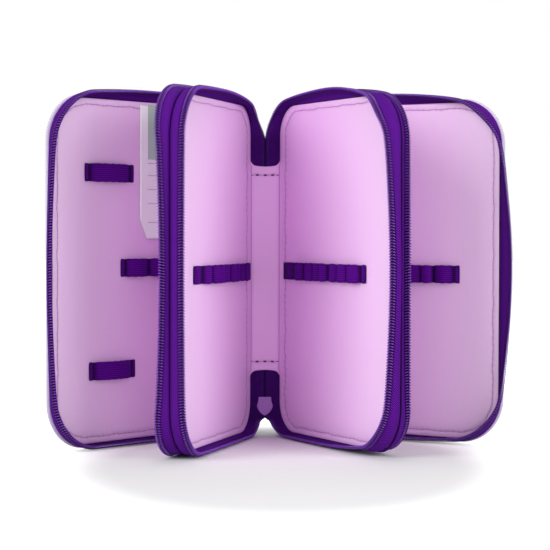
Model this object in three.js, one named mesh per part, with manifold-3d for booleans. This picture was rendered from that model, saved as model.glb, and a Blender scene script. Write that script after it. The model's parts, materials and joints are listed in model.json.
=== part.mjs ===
// A three-tier zip pencil case, standing open on its zip edges like a fan.
// Four stiff leaves, two covers with two dividers between them, are joined by three narrow spine strips.
// Each pair of neighbours closes with a zip of its own, so there are three compartments side by side.
// Millimetres, Z up, X to the right, and the compartments open towards -Y.
import * as THREE from "three";
import { mergeVertices } from "three/addons/utils/BufferGeometryUtils.js";
import Module from "manifold-3d";

const wasm = await Module();
wasm.setup();

// Leaves
const leafHeight = 190;
const leafWidth = 128;
const spineCornerRadius = 17;
const freeCornerRadius = 24;
const liningThickness = 0.5;
const boardThickness = 1.4;
const fabricThickness = 0.5;
const clearance = 0.3;
const coverOverhang = 1.2;
const boardInset = 0.3;

// Spine strips
const stripWidth = 17.3;
const stripTopGap = 34.5;
const stripEndBottom = 35;
const stripCutRadius = 4;
const tapeTuck = 6;

// Zips
const tapeThickness = 0.8;
const tapeRootOut = 0.8;
const coverRootDepth = 1.2;
const dividerRootDepth = 0.8;
const wallBow = 1.2;
const railLength = 3;
const railThickness = 1.8;
const spineTapeThickness = 0.6;
const chainWidth = 4.6;
const chainThickness = 2.2;
const throatWidth = 10;
const throatWallHeight = 3;
const throatBottom = 5.5;

// Zip sliders and their pulls
const sliderLength = 11;
const sliderTailWidth = 7.5;
const sliderWidth = 9.5;
const sliderPlate = 1;
const sliderBottom = 8;
const sliderTravel = 14;
const flangeWidth = 1;
const postWidth = 1.2;
const postLength = 1.6;
const bailWidth = 1.6;
const bailLength = 6;
const bailRise = 3.2;
const bailWall = 0.9;
const pullBar = 0.9;
const pullLength = 15.5;
const pullWidth = 7;
const pullWindow = 4.4;
const pullRail = 1.8;
const pullThickness = 1.2;
const pullLean = 6;

// Pencil loops
const elasticWidth = 11.5;
const elasticThickness = 0.9;
const loopRise = 3.2;

// Care label
const labelWidth = 30;
const labelLength = 76;
const labelThickness = 0.4;
const labelLoopGap = 5.3;
const labelCornerWidth = 5;
const labelCornerHeight = 11.5;

// How far each fold stands open, in degrees past the closed case
const leftDividerOpenAngle = 18;
const rightDividerOpenAngle = 28.5;
const leftStripOpenAngle = 6;
const rightStripOpenAngle = 21.5;
const leftCoverOpenAngle = 19;
const rightCoverOpenAngle = 7.8;

// Where each zip's free rim stands at eight places round a leaf: the start and the middle of the spine's upper
// corner, the top edge, the upper free corner, the free edge, the lower free corner, the bottom edge and the
// spine's lower corner. Each place has the rim's lean out from the leaf's edge and its height over the lining,
// as shares of the height at which the two halves of a closed zip meet. The stretched teeth pull the cloth in
// at the corners and let it fall open along the edges. At the throat the slider holds the two halves apart.
const spineShares = [0.04, 1];
const footShares = [0.19, 1];
const throatShares = [0.04, 0.79];
const rimShares = {
  leftCover: [
    spineShares, [0.53, 1], [0.61, 0.97], [0.16, 1], [1.08, 0.59], [0.1, 1], footShares, throatShares,
  ],
  leftDividerOuter: [
    spineShares, [0.63, 0.96], [0.91, 0.79], [0.23, 0.91], [1.17, 0.26], [0.2, 0.96], footShares, throatShares,
  ],
  leftDividerInner: [
    [0.04, 0.72], [-0.06, 0.69], [0.68, 0.95], [0.38, 1], [0.37, 1], [0.06, 1], footShares, throatShares,
  ],
  rightDividerInner: [
    spineShares, [0.22, 0.69], [1.01, 0.38], [-0.54, 1], [0.66, 0.95], [-0.54, 1], footShares, throatShares,
  ],
  rightDividerOuter: [
    spineShares, [0.56, 0.98], [1.01, 0.71], [-0.35, 0.67], [-0.42, 0.99], [-0.44, 0.86], footShares, throatShares,
  ],
  rightCover: [
    spineShares, [0.68, 0.93], [1.13, 0.48], [-0.24, 1], [1.17, 0.43], [0.29, 1], footShares, throatShares,
  ],
};

// Where the elastics are sewn: their ends as shares of the leaf's width, their height on it as a share of its
// height, and their seams as shares of their own length.
const loopShares = {
  left_cover_top_loop: { from: 0.547, to: 0.828, height: 0.787, seams: [0.08, 0.92] },
  left_cover_middle_loops: { from: 0.281, to: 0.621, height: 0.508, seams: [0.08, 0.53, 0.93] },
  left_cover_bottom_loop: { from: 0.539, to: 0.805, height: 0.208, seams: [0.08, 0.92] },
  left_divider_outer_loops: { from: 0.156, to: 0.781, height: 0.5, seams: [0.08, 0.29, 0.5, 0.71, 0.92] },
  left_divider_inner_loops: {
    from: 0.023,
    to: 0.766,
    height: 0.492,
    seams: [0.11, 0.175, 0.25, 0.33, 0.42, 0.52, 0.635, 0.725, 0.86],
  },
  right_divider_inner_loops: {
    from: 0.051,
    to: 0.762,
    height: 0.495,
    seams: [0.17, 0.285, 0.4, 0.485, 0.58, 0.69, 0.805, 0.945],
  },
  right_divider_outer_loops: { from: 0.156, to: 0.781, height: 0.5, seams: [0.08, 0.29, 0.5, 0.71, 0.92] },
  right_cover_loops: {
    from: 0.297,
    to: 0.816,
    height: 0.489,
    seams: [0.12, 0.29, 0.46, 0.64, 0.76, 0.95],
  },
};

// Where the rim and then the low wall past it end on the spine's lower corner, in degrees
const rimEndAngle = -135;
const throatEndAngle = -178;
const lastPlace = 7;

// Counts of steps along curves
const cornerSteps = 6;
const edgeSteps = 6;
const loopSteps = 6;

// Colours
const lilac = 0xd9aedf;
const paleLilac = 0xe9e0ef;
const purple = 0x4b1187;
const darkPurple = 0x2f0a58;
const card = 0xb9a58a;
const satin = 0xe6dfea;
const paint = 0x9a63b8;

// Sizes that follow from the ones above
const leafThickness = liningThickness + clearance + boardThickness + clearance + fabricThickness;
const tapeMiddle = -(liningThickness + clearance + spineTapeThickness / 2);
const chainFront = tapeMiddle + chainThickness / 2;
const chainBack = tapeMiddle - chainThickness / 2;
const spineFabricFront = tapeMiddle - spineTapeThickness / 2 - clearance;
const stripMiddle = stripWidth / 2;
const rimHeight = stripMiddle - clearance;
const stripEndTop = leafHeight - stripTopGap;
const upperCornerStart = leafHeight - spineCornerRadius;

function finish(color, roughness, metalness = 0) {
  return new THREE.MeshStandardMaterial({ color, roughness, metalness });
}

function node(name, geometry, color, roughness = 0.9, metalness = 0) {
  const mesh = new THREE.Mesh(geometry, finish(color, roughness, metalness));
  mesh.name = name;
  return mesh;
}

// Turns a geometry's faces out if its triangles enclose a negative volume.
function facingOut(positions, indices) {
  const corner = (i) => new THREE.Vector3().fromArray(positions, 3 * i);
  let volume = 0;
  for (let i = 0; i < indices.length; i += 3) {
    const [a, b, c] = [indices[i], indices[i + 1], indices[i + 2]].map(corner);
    volume += a.dot(b.cross(c));
  }
  if (volume < 0) indices.reverse();
  const geometry = new THREE.BufferGeometry();
  geometry.setAttribute("position", new THREE.Float32BufferAttribute(positions, 3));
  geometry.setIndex(indices);
  return geometry;
}

// A closed body through a row of rings, each a list of points in the same order.
function loft(rings) {
  const count = rings[0].length;
  const positions = rings.flat().flatMap((p) => [p.x, p.y, p.z]);
  const indices = [];
  for (let r = 0; r + 1 < rings.length; r++) {
    for (let i = 0; i < count; i++) {
      const a = r * count + i;
      const b = r * count + ((i + 1) % count);
      indices.push(a, b, b + count, a, b + count, a + count);
    }
  }
  const last = (rings.length - 1) * count;
  const flat = rings[0].map((p, i) => new THREE.Vector2(...ringPlane(rings[0], p)));
  for (const [a, b, c] of THREE.ShapeUtils.triangulateShape(flat, [])) {
    indices.push(c, b, a, last + a, last + b, last + c);
  }
  return facingOut(positions, indices);
}

// A ring's point in the plane that the ring lies in.
function ringPlane(ring, point) {
  const across = ring[1].clone().sub(ring[0]).normalize();
  const normal = new THREE.Vector3();
  for (let i = 1; i + 1 < ring.length; i++) {
    const side = ring[i].clone().sub(ring[0]);
    normal.add(side.cross(ring[i + 1].clone().sub(ring[0])));
  }
  const up = normal.normalize().cross(across);
  const from = point.clone().sub(ring[0]);
  return [from.dot(across), from.dot(up)];
}

// A flat plate: an outline in leaf length and height, from one level over the lining down by its thickness.
function plate(outline, top, thickness) {
  const geometry = new THREE.ExtrudeGeometry(outline, {
    depth: thickness,
    bevelEnabled: false,
    curveSegments: cornerSteps,
  });
  return geometry.rotateX(Math.PI / 2).translate(0, top, 0);
}

// A leaf's outline, grown on its three free sides, with its back edge kept clear of the fold.
function leafOutline(grow) {
  const near = clearance;
  const [far, low, high] = [leafWidth + grow, -grow, leafHeight + grow];
  const [back, free] = [spineCornerRadius + grow, freeCornerRadius + grow];
  const outline = new THREE.Shape();
  outline.moveTo(near, low + back);
  outline.absarc(near + back, low + back, back, Math.PI, 1.5 * Math.PI, false);
  outline.absarc(far - free, low + free, free, 1.5 * Math.PI, 2 * Math.PI, false);
  outline.absarc(far - free, high - free, free, 0, 0.5 * Math.PI, false);
  outline.absarc(near + back, high - back, back, 0.5 * Math.PI, Math.PI, false);
  outline.closePath();
  return outline;
}

// Stations round a leaf's edge, from the spine's upper corner by the free edge to the spine's lower corner.
// Each has its place, the direction out of the leaf there, and where it lies among the eight rim places.
function edgeStations() {
  const stations = [];
  const corner = (u, z, radius, from, to, placeFrom, placeTo) => {
    for (let i = 0; i <= cornerSteps; i++) {
      const share = i / cornerSteps;
      const angle = THREE.MathUtils.degToRad(from + (to - from) * share);
      const out = new THREE.Vector2(Math.cos(angle), Math.sin(angle));
      const place = placeFrom + (placeTo - placeFrom) * share;
      stations.push({ u: u + radius * out.x, z: z + radius * out.y, out, place });
    }
  };
  const edge = (placeFrom, placeTo, next) => {
    const start = stations.at(-1);
    for (let i = 1; i < edgeSteps; i++) {
      const share = i / edgeSteps;
      const u = start.u + (next.u - start.u) * share;
      const z = start.z + (next.z - start.z) * share;
      stations.push({ u, z, out: start.out, place: placeFrom + (placeTo - placeFrom) * share });
    }
  };
  const [back, free] = [spineCornerRadius, freeCornerRadius];
  const [topEnd, sideEnd] = [leafWidth - free, leafHeight - free];
  const cornerShare = 0.35;
  const place = (number) => [number - 1 + cornerShare, number + 1 - cornerShare];
  const [top, side, bottom] = [place(2), place(4), place(6)];
  corner(back, leafHeight - back, back, 180, 90, 0, top[0]);
  edge(...top, { u: topEnd, z: leafHeight });
  corner(topEnd, sideEnd, free, 90, 0, top[1], side[0]);
  edge(...side, { u: leafWidth, z: free });
  corner(topEnd, free, free, 0, -90, side[1], bottom[0]);
  edge(...bottom, { u: back, z: 0 });
  corner(back, back, back, -90, rimEndAngle, bottom[1], lastPlace);
  return stations;
}

// The stations that run on up the spine's lower corner, past the rim's end.
function throatStations() {
  const stations = [];
  const radius = spineCornerRadius;
  const steps = cornerSteps / 2;
  for (let i = 1; i <= steps; i++) {
    const angle = THREE.MathUtils.degToRad(rimEndAngle + ((throatEndAngle - rimEndAngle) * i) / steps);
    const out = new THREE.Vector2(Math.cos(angle), Math.sin(angle));
    stations.push({ u: radius + radius * out.x, z: radius + radius * out.y, out, place: lastPlace });
  }
  return stations;
}

// The rim's lean and height at a station, eased from one of the eight places to the next.
function rimAt(shares, place) {
  const from = Math.min(Math.floor(place), shares.length - 2);
  const eased = THREE.MathUtils.smoothstep(place - from, 0, 1);
  const [near, far] = [shares[from], shares[from + 1]].map((pair) => new THREE.Vector2(...pair));
  return near.lerp(far, eased).multiplyScalar(rimHeight);
}

// A line of points in lean and height, thickened into a closed ring.
function thicken(line, thickness) {
  const half = thickness / 2;
  const sides = line.map((point, i) => {
    const before = line[Math.max(i - 1, 0)];
    const after = line[Math.min(i + 1, line.length - 1)];
    const along = after.clone().sub(before).normalize();
    return new THREE.Vector2(along.y, -along.x).multiplyScalar(half);
  });
  const front = line.map((point, i) => point.clone().add(sides[i]));
  const back = line.map((point, i) => point.clone().sub(sides[i]));
  return [...front, ...back.reverse()];
}

// A point of a wall's section, set at a station of the leaf's edge.
function atStation(station, point) {
  const { u, z, out } = station;
  return new THREE.Vector3(u + out.x * point.x, point.y, z + out.y * point.x);
}

// The middle line of a zip's wall at a rim: from its root at the leaf's edge over a bowed knee to the rim.
function wallLine(rim, rootDepth) {
  const root = new THREE.Vector2(tapeRootOut, -rootDepth);
  const along = rim.clone().sub(root).normalize();
  const knee = root.clone().lerp(rim, 0.5);
  knee.add(new THREE.Vector2(along.y, -along.x).multiplyScalar(wallBow));
  return { root, knee, rim, along: rim.clone().sub(knee).normalize() };
}

// The cloth wall of one zip half, which runs on as a low wall round the spine's lower corner.
function tapeWall(shares, rootDepth) {
  const ring = (station) => {
    const line = wallLine(rimAt(shares, station.place), rootDepth);
    const end = line.rim.clone().addScaledVector(line.along, -(railLength + clearance));
    return thicken([line.root, line.knee, end], tapeThickness).map((p) => atStation(station, p));
  };
  const lowRing = (station) => {
    const root = new THREE.Vector2(tapeRootOut, -rootDepth);
    const end = new THREE.Vector2(tapeRootOut, throatWallHeight);
    const knee = root.clone().lerp(end, 0.5);
    return thicken([root, knee, end], tapeThickness).map((p) => atStation(station, p));
  };
  return loft([...edgeStations().map(ring), ...throatStations().map(lowRing)]);
}

// The row of teeth along the rim, as the plain bead that they fill.
function teethRail(shares, rootDepth) {
  const shoulder = railThickness / 2;
  const ring = (station) => {
    const line = wallLine(rimAt(shares, station.place), rootDepth);
    const across = new THREE.Vector2(line.along.y, -line.along.x).multiplyScalar(shoulder);
    const at = (back, side) => {
      const point = line.rim.clone().addScaledVector(line.along, -back).addScaledVector(across, side);
      return atStation(station, point);
    };
    return [
      at(0, 0),
      at(shoulder, 1),
      at(railLength - shoulder, 1),
      at(railLength, 0),
      at(railLength - shoulder, -1),
      at(shoulder, -1),
    ];
  };
  return loft(edgeStations().map(ring));
}

// One elastic sewn down at its seams, standing up in a loop between each two of them.
function elastic(shares) {
  const [from, to] = [shares.from * leafWidth, shares.to * leafWidth];
  const height = shares.height * leafHeight;
  const seams = shares.seams.map((share) => from + (to - from) * share);
  const [under, over] = [[], []];
  const seamTop = clearance + elasticThickness;
  under.push(new THREE.Vector2(from, clearance));
  over.push(new THREE.Vector2(from, seamTop));
  for (let i = 0; i + 1 < seams.length; i++) {
    const [start, end] = [seams[i], seams[i + 1]];
    for (let k = 0; k < loopSteps; k++) {
      const share = k / loopSteps;
      const bulge = Math.sqrt(Math.sin(Math.PI * share));
      over.push(new THREE.Vector2(start + (end - start) * share, seamTop + loopRise * bulge));
    }
    for (let k = 0; k <= loopSteps; k++) {
      const share = k / loopSteps;
      const [low, high] = [start + elasticThickness, end - elasticThickness];
      const rise = loopRise * Math.sin(Math.PI * share);
      under.push(new THREE.Vector2(low + (high - low) * share, clearance + rise));
    }
  }
  over.push(new THREE.Vector2(seams.at(-1), seamTop), new THREE.Vector2(to, seamTop));
  under.push(new THREE.Vector2(to, clearance));
  const outline = new THREE.Shape([...under, ...over.reverse()]);
  const geometry = new THREE.ExtrudeGeometry(outline, { depth: elasticWidth, bevelEnabled: false });
  return geometry.translate(0, 0, height - elasticWidth / 2);
}

// The woven care label, sewn into the cover's top seam beside its top loop, with one lower corner cut off.
function label() {
  const top = leafHeight - coverOverhang;
  const low = top - labelLength;
  const to = loopShares.left_cover_top_loop.from * leafWidth - labelLoopGap;
  const from = to - labelWidth;
  const outline = new THREE.Shape();
  outline.moveTo(from, low);
  outline.lineTo(to - labelCornerWidth, low);
  outline.lineTo(to, low + labelCornerHeight);
  outline.lineTo(to, top);
  outline.lineTo(from, top);
  outline.closePath();
  return plate(outline, clearance + labelThickness, labelThickness);
}

// A spine strip's lining or outer cloth: a long panel whose ends are cut out round the zip.
function stripOutline() {
  const [near, far] = [clearance, stripWidth - clearance];
  const [low, high, r] = [stripEndBottom, stripEndTop, stripCutRadius];
  const outline = new THREE.Shape();
  outline.moveTo(near, low - r);
  outline.absarc(near + r, low - r, r, Math.PI, 0.5 * Math.PI, true);
  outline.absarc(far - r, low - r, r, 0.5 * Math.PI, 0, true);
  outline.lineTo(far, high + r);
  outline.absarc(far - r, high + r, r, 0, -0.5 * Math.PI, true);
  outline.absarc(near + r, high + r, r, 1.5 * Math.PI, Math.PI, true);
  outline.closePath();
  return outline;
}

// The zip cloth over a strip's upper end, with a slot for the closed teeth.
function topTapeOutline() {
  const [near, far] = [clearance, stripWidth - clearance];
  const half = chainWidth / 2 + clearance;
  const [low, high] = [stripEndTop - tapeTuck, upperCornerStart - clearance];
  const outline = new THREE.Shape();
  outline.moveTo(near, low);
  outline.lineTo(far, low);
  outline.lineTo(far, high);
  outline.lineTo(stripMiddle + half, high);
  outline.lineTo(stripMiddle + half, stripEndTop);
  outline.lineTo(stripMiddle - half, stripEndTop);
  outline.lineTo(stripMiddle - half, high);
  outline.lineTo(near, high);
  outline.closePath();
  return outline;
}

// The zip cloth over a strip's lower end: two legs, narrower between the leaves' lower corners.
function bottomTapeOutline() {
  const [near, far] = [clearance, stripWidth - clearance];
  const half = chainWidth / 2 + clearance;
  const neck = throatWidth / 2;
  const shoulder = spineCornerRadius + clearance;
  const outline = new THREE.Shape();
  outline.moveTo(near, shoulder);
  outline.lineTo(stripMiddle - neck, shoulder);
  outline.lineTo(stripMiddle - neck, throatBottom);
  outline.lineTo(stripMiddle - half, throatBottom);
  outline.lineTo(stripMiddle - half, stripEndBottom);
  outline.lineTo(stripMiddle + half, stripEndBottom);
  outline.lineTo(stripMiddle + half, throatBottom);
  outline.lineTo(stripMiddle + neck, throatBottom);
  outline.lineTo(stripMiddle + neck, shoulder);
  outline.lineTo(far, shoulder);
  outline.lineTo(far, stripEndBottom + tapeTuck);
  outline.lineTo(near, stripEndBottom + tapeTuck);
  outline.closePath();
  return outline;
}

// Closed teeth at a strip's upper end.
function topChainOutline() {
  const half = chainWidth / 2;
  const outline = new THREE.Shape();
  outline.moveTo(stripMiddle - half, stripEndTop + clearance);
  outline.lineTo(stripMiddle + half, stripEndTop + clearance);
  outline.lineTo(stripMiddle + half, upperCornerStart - clearance);
  outline.lineTo(stripMiddle - half, upperCornerStart - clearance);
  outline.closePath();
  return outline;
}

// Closed teeth over the slider, parted in the middle as far up as the slider's wedge can travel.
function bottomChainOutline() {
  const half = chainWidth / 2;
  const part = postWidth / 2 + clearance;
  const low = sliderBottom + sliderLength + clearance;
  const high = stripEndBottom - clearance;
  const parted = sliderBottom + 2 * postLength + sliderTravel + clearance;
  const outline = new THREE.Shape();
  outline.moveTo(stripMiddle - half, low);
  outline.lineTo(stripMiddle - part, low);
  outline.lineTo(stripMiddle - part, parted);
  outline.lineTo(stripMiddle + part, parted);
  outline.lineTo(stripMiddle + part, low);
  outline.lineTo(stripMiddle + half, low);
  outline.lineTo(stripMiddle + half, high);
  outline.lineTo(stripMiddle - half, high);
  outline.closePath();
  return outline;
}

// A slider plate's outline: a flat tail at the top, widest at the shoulders, and a point below.
function sliderOutline() {
  const [tail, wide] = [sliderTailWidth / 2, sliderWidth / 2];
  const shoulderShare = 0.52;
  const cheekShare = 0.28;
  const shoulder = sliderLength * shoulderShare;
  const cheek = sliderLength * cheekShare;
  const outline = new THREE.Shape();
  outline.moveTo(0, 0);
  outline.quadraticCurveTo(wide - postWidth, cheek / 2, wide, shoulder);
  outline.lineTo(tail, shoulder + cheek);
  outline.lineTo(tail, sliderLength);
  outline.lineTo(-tail, sliderLength);
  outline.lineTo(-tail, shoulder + cheek);
  outline.lineTo(-wide, shoulder);
  outline.quadraticCurveTo(postWidth - wide, cheek / 2, 0, 0);
  return outline;
}

// A box from its low corner to its high corner.
function block(low, high) {
  const size = high.clone().sub(low);
  const middle = low.clone().add(high).multiplyScalar(0.5);
  return new THREE.BoxGeometry(size.x, size.y, size.z).translate(middle.x, middle.y, middle.z);
}

// A three.js geometry as a solid that can be joined and cut.
function solid(geometry) {
  const bare = new THREE.BufferGeometry();
  bare.setAttribute("position", positionsOf(geometry));
  const merged = mergeVertices(bare, 1e-4);
  return new wasm.Manifold(
    new wasm.Mesh({
      numProp: 3,
      vertProperties: merged.getAttribute("position").array,
      triVerts: new Uint32Array(merged.index.array),
    }),
  );
}

// A geometry's corners, three for each triangle.
function positionsOf(geometry) {
  return (geometry.index ? geometry.toNonIndexed() : geometry).getAttribute("position");
}

// A joined solid as a three.js geometry.
function geometryOf(shape) {
  const { vertProperties, triVerts } = shape.getMesh();
  const geometry = new THREE.BufferGeometry();
  geometry.setAttribute("position", new THREE.BufferAttribute(new Float32Array(vertProperties), 3));
  geometry.setIndex(new THREE.BufferAttribute(new Uint32Array(triVerts), 1));
  return geometry;
}

// The arch on the slider's outer plate that holds the pull's bar.
function bail(plateBack) {
  const middle = sliderLength / 2;
  const [low, high] = [middle - bailLength / 2, middle + bailLength / 2];
  const outline = new THREE.Shape();
  outline.moveTo(low, plateBack + sliderPlate / 2);
  outline.lineTo(low, plateBack - bailRise);
  outline.lineTo(high, plateBack - bailRise);
  outline.lineTo(high, plateBack + sliderPlate / 2);
  outline.lineTo(high - bailWall, plateBack + sliderPlate / 2);
  outline.lineTo(high - bailWall, plateBack - bailRise + bailWall);
  outline.lineTo(low + bailWall, plateBack - bailRise + bailWall);
  outline.lineTo(low + bailWall, plateBack + sliderPlate / 2);
  outline.closePath();
  const geometry = new THREE.ExtrudeGeometry(outline, { depth: bailWidth, bevelEnabled: false });
  // The outline's first axis is the strip's height, so x, y, z turn into height, depth and width.
  geometry.applyMatrix4(new THREE.Matrix4().set(0, 0, 1, -bailWidth / 2, 0, 1, 0, 0, 1, 0, 0, 0, 0, 0, 0, 1));
  const positions = [...positionsOf(geometry).array];
  return facingOut(positions, [...positions.keys()].slice(0, positions.length / 3));
}

// The slider: an inner and an outer plate with turned-in sides, a wedge between them, and the bail.
function slider() {
  const innerBack = chainFront + clearance;
  const outerFront = chainBack - clearance;
  const slit = spineTapeThickness / 2 + clearance;
  const inner = solid(plate(sliderOutline(), innerBack + sliderPlate, sliderPlate));
  const outer = solid(plate(sliderOutline(), outerFront, sliderPlate));
  const flanges = [-1, 1].flatMap((side) => {
    const [a, b] = [side * (sliderTailWidth / 2 - flangeWidth), (side * sliderTailWidth) / 2];
    const [near, far] = [Math.min(a, b), Math.max(a, b)];
    const [low, high] = [sliderLength / 2, sliderLength];
    const middle = tapeMiddle;
    return [
      block(new THREE.Vector3(near, middle + slit, low), new THREE.Vector3(far, innerBack + sliderPlate / 2, high)),
      block(new THREE.Vector3(near, outerFront - sliderPlate / 2, low), new THREE.Vector3(far, middle - slit, high)),
    ];
  });
  const half = postWidth / 2;
  const wedge = block(
    new THREE.Vector3(-half, outerFront - sliderPlate / 2, postLength),
    new THREE.Vector3(half, innerBack + sliderPlate / 2, 2 * postLength),
  );
  const joined = [...flanges, wedge, bail(outerFront - sliderPlate)].map(solid);
  return geometryOf(joined.reduce((whole, piece) => whole.add(piece), inner.add(outer)));
}

// The pull: a tab with a window at its root, whose bar passes under the bail. Its origin is on the bar's axis.
function pull() {
  const [half, bar] = [pullWidth / 2, pullBar / 2];
  const outline = new THREE.Shape();
  outline.moveTo(-half, -bar);
  outline.lineTo(half, -bar);
  outline.lineTo(half, pullLength - half);
  outline.absarc(0, pullLength - half, half, 0, Math.PI, false);
  outline.closePath();
  const side = half - pullRail;
  const window = new THREE.Path();
  window.moveTo(-side, bar);
  window.lineTo(-side, pullWindow);
  window.lineTo(side, pullWindow);
  window.lineTo(side, bar);
  window.closePath();
  outline.holes.push(window);
  return plate(outline, pullThickness / 2, pullThickness);
}

// One spine strip with its zip ends, slider and pull. Its origin is the fold at its first side, x runs across it,
// and y points into the compartment.
function spineStrip(name) {
  const group = new THREE.Group();
  const tapeTop = tapeMiddle + spineTapeThickness / 2;
  group.add(
    node(`${name}_lining`, plate(stripOutline(), 0, liningThickness), lilac),
    node(`${name}_outer_fabric`, plate(stripOutline(), spineFabricFront, fabricThickness), paleLilac),
    node(`${name}_top_zip_tape`, plate(topTapeOutline(), tapeTop, spineTapeThickness), purple),
    node(`${name}_bottom_zip_tape`, plate(bottomTapeOutline(), tapeTop, spineTapeThickness), purple),
    node(`${name}_top_zip_teeth`, plate(topChainOutline(), chainFront, chainThickness), darkPurple, 0.5),
    node(`${name}_bottom_zip_teeth`, plate(bottomChainOutline(), chainFront, chainThickness), darkPurple, 0.5),
  );
  const zip = new THREE.Group();
  zip.position.set(stripMiddle, 0, sliderBottom);
  const tab = node(`${name}_zip_pull`, pull(), paint, 0.35, 0.4);
  const plateBack = chainBack - clearance - sliderPlate;
  tab.position.set(0, plateBack - (bailRise - bailWall) / 2 - pullBar / 4, sliderLength / 2);
  tab.rotation.x = THREE.MathUtils.degToRad(-pullLean);
  zip.add(node(`${name}_zip_slider`, slider(), paint, 0.35, 0.4), tab);
  group.add(zip);
  return group;
}

// What one face of a leaf carries: its lining, its zip half and its pencil loops, with y out of the lining.
function face(name, side, rims, rootDepth, elastics) {
  const prefix = side ? `${name}_${side}_` : `${name}_`;
  const group = new THREE.Group();
  group.add(
    node(`${prefix}lining`, plate(leafOutline(-boardInset), 0, liningThickness), lilac),
    node(`${prefix}zip_tape`, tapeWall(rims, rootDepth), purple),
    node(`${prefix}zip_teeth`, teethRail(rims, rootDepth), darkPurple, 0.5),
  );
  for (const key of elastics) {
    group.add(node(key, elastic(loopShares[key]), purple));
  }
  return group;
}

// A leaf's stiff board, under the lining.
function board(name) {
  return node(`${name}_board`, plate(leafOutline(-boardInset), -liningThickness - clearance, boardThickness), card);
}

// A cover: one lined face, the board and the outer fabric.
function cover(name, rims, elastics) {
  const group = new THREE.Group();
  const fabricTop = fabricThickness - leafThickness;
  group.add(face(name, "", rims, coverRootDepth, elastics), board(name));
  group.add(node(`${name}_outer_fabric`, plate(leafOutline(coverOverhang), fabricTop, fabricThickness), paleLilac));
  return group;
}

// A divider: the board between two lined faces. The outer face looks the other way.
function divider(name, innerRims, outerRims) {
  const group = new THREE.Group();
  const outer = face(name, "outer", outerRims, dividerRootDepth, [`${name}_outer_loops`]);
  outer.position.y = -leafThickness;
  outer.scale.y = -1;
  group.add(face(name, "inner", innerRims, dividerRootDepth, [`${name}_inner_loops`]), board(name), outer);
  return group;
}

// Sets a group on a fold: its place, and the turn that points its x axis along a direction in degrees.
function onFold(group, place, direction, mirrored) {
  group.position.set(place.x, place.y, 0);
  group.rotation.z = THREE.MathUtils.degToRad(direction);
  if (mirrored) group.scale.y = -1;
  return group;
}

// A point some way along a direction in degrees.
function along(place, direction, distance) {
  const angle = THREE.MathUtils.degToRad(direction);
  return new THREE.Vector2(place.x + distance * Math.cos(angle), place.y + distance * Math.sin(angle));
}

// One half of the case, from the middle strip's fold outwards: divider, outer strip and cover.
// hand is -1 on the left and 1 on the right. Angles are turned from the closed case, where leaves point to -Y.
function half(hand, dividerGroup, stripGroup, coverGroup, dividerOpenAngle, stripOpenAngle, coverOpenAngle) {
  const quarterTurn = 90;
  const forward = -quarterTurn;
  const sideways = hand < 0 ? 2 * quarterTurn : 0;
  const fold = new THREE.Vector2(hand * stripMiddle, 0);
  const leafDirection = forward + hand * dividerOpenAngle;
  const outerFold = along(fold, leafDirection + hand * quarterTurn, leafThickness);
  const stripDirection = sideways + hand * (dividerOpenAngle + stripOpenAngle);
  const coverFold = along(outerFold, stripDirection, stripWidth);
  const coverDirection = forward + hand * (dividerOpenAngle + stripOpenAngle + coverOpenAngle);
  return [
    onFold(dividerGroup, fold, leafDirection, hand > 0),
    onFold(stripGroup, outerFold, stripDirection, hand > 0),
    onFold(coverGroup, coverFold, coverDirection, hand > 0),
  ];
}

const pencilCase = new THREE.Group();
pencilCase.add(onFold(spineStrip("middle_spine"), new THREE.Vector2(stripMiddle, 0), 180, false));
pencilCase.add(
  ...half(
    -1,
    divider("left_divider", rimShares.leftDividerInner, rimShares.leftDividerOuter),
    spineStrip("left_spine"),
    cover("left_cover", rimShares.leftCover, [
      "left_cover_top_loop",
      "left_cover_middle_loops",
      "left_cover_bottom_loop",
    ]),
    leftDividerOpenAngle,
    leftStripOpenAngle,
    leftCoverOpenAngle,
  ),
  ...half(
    1,
    divider("right_divider", rimShares.rightDividerInner, rimShares.rightDividerOuter),
    spineStrip("right_spine"),
    cover("right_cover", rimShares.rightCover, ["right_cover_loops"]),
    rightDividerOpenAngle,
    rightStripOpenAngle,
    rightCoverOpenAngle,
  ),
);
pencilCase.children
  .find((group) => group.getObjectByName("left_cover_lining"))
  .add(node("left_cover_label", label(), satin));

// The origin is under the middle of the standing case, on the surface that its rims rest on.
pencilCase.updateMatrixWorld(true);
const bounds = new THREE.Box3().setFromObject(pencilCase, true);
const middle = bounds.getCenter(new THREE.Vector3());
pencilCase.position.set(-middle.x, -middle.y, -bounds.min.z);

export default pencilCase;
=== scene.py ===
import json
import math

import bmesh
import bpy
import numpy as np
from mathutils import Matrix, Vector


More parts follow.
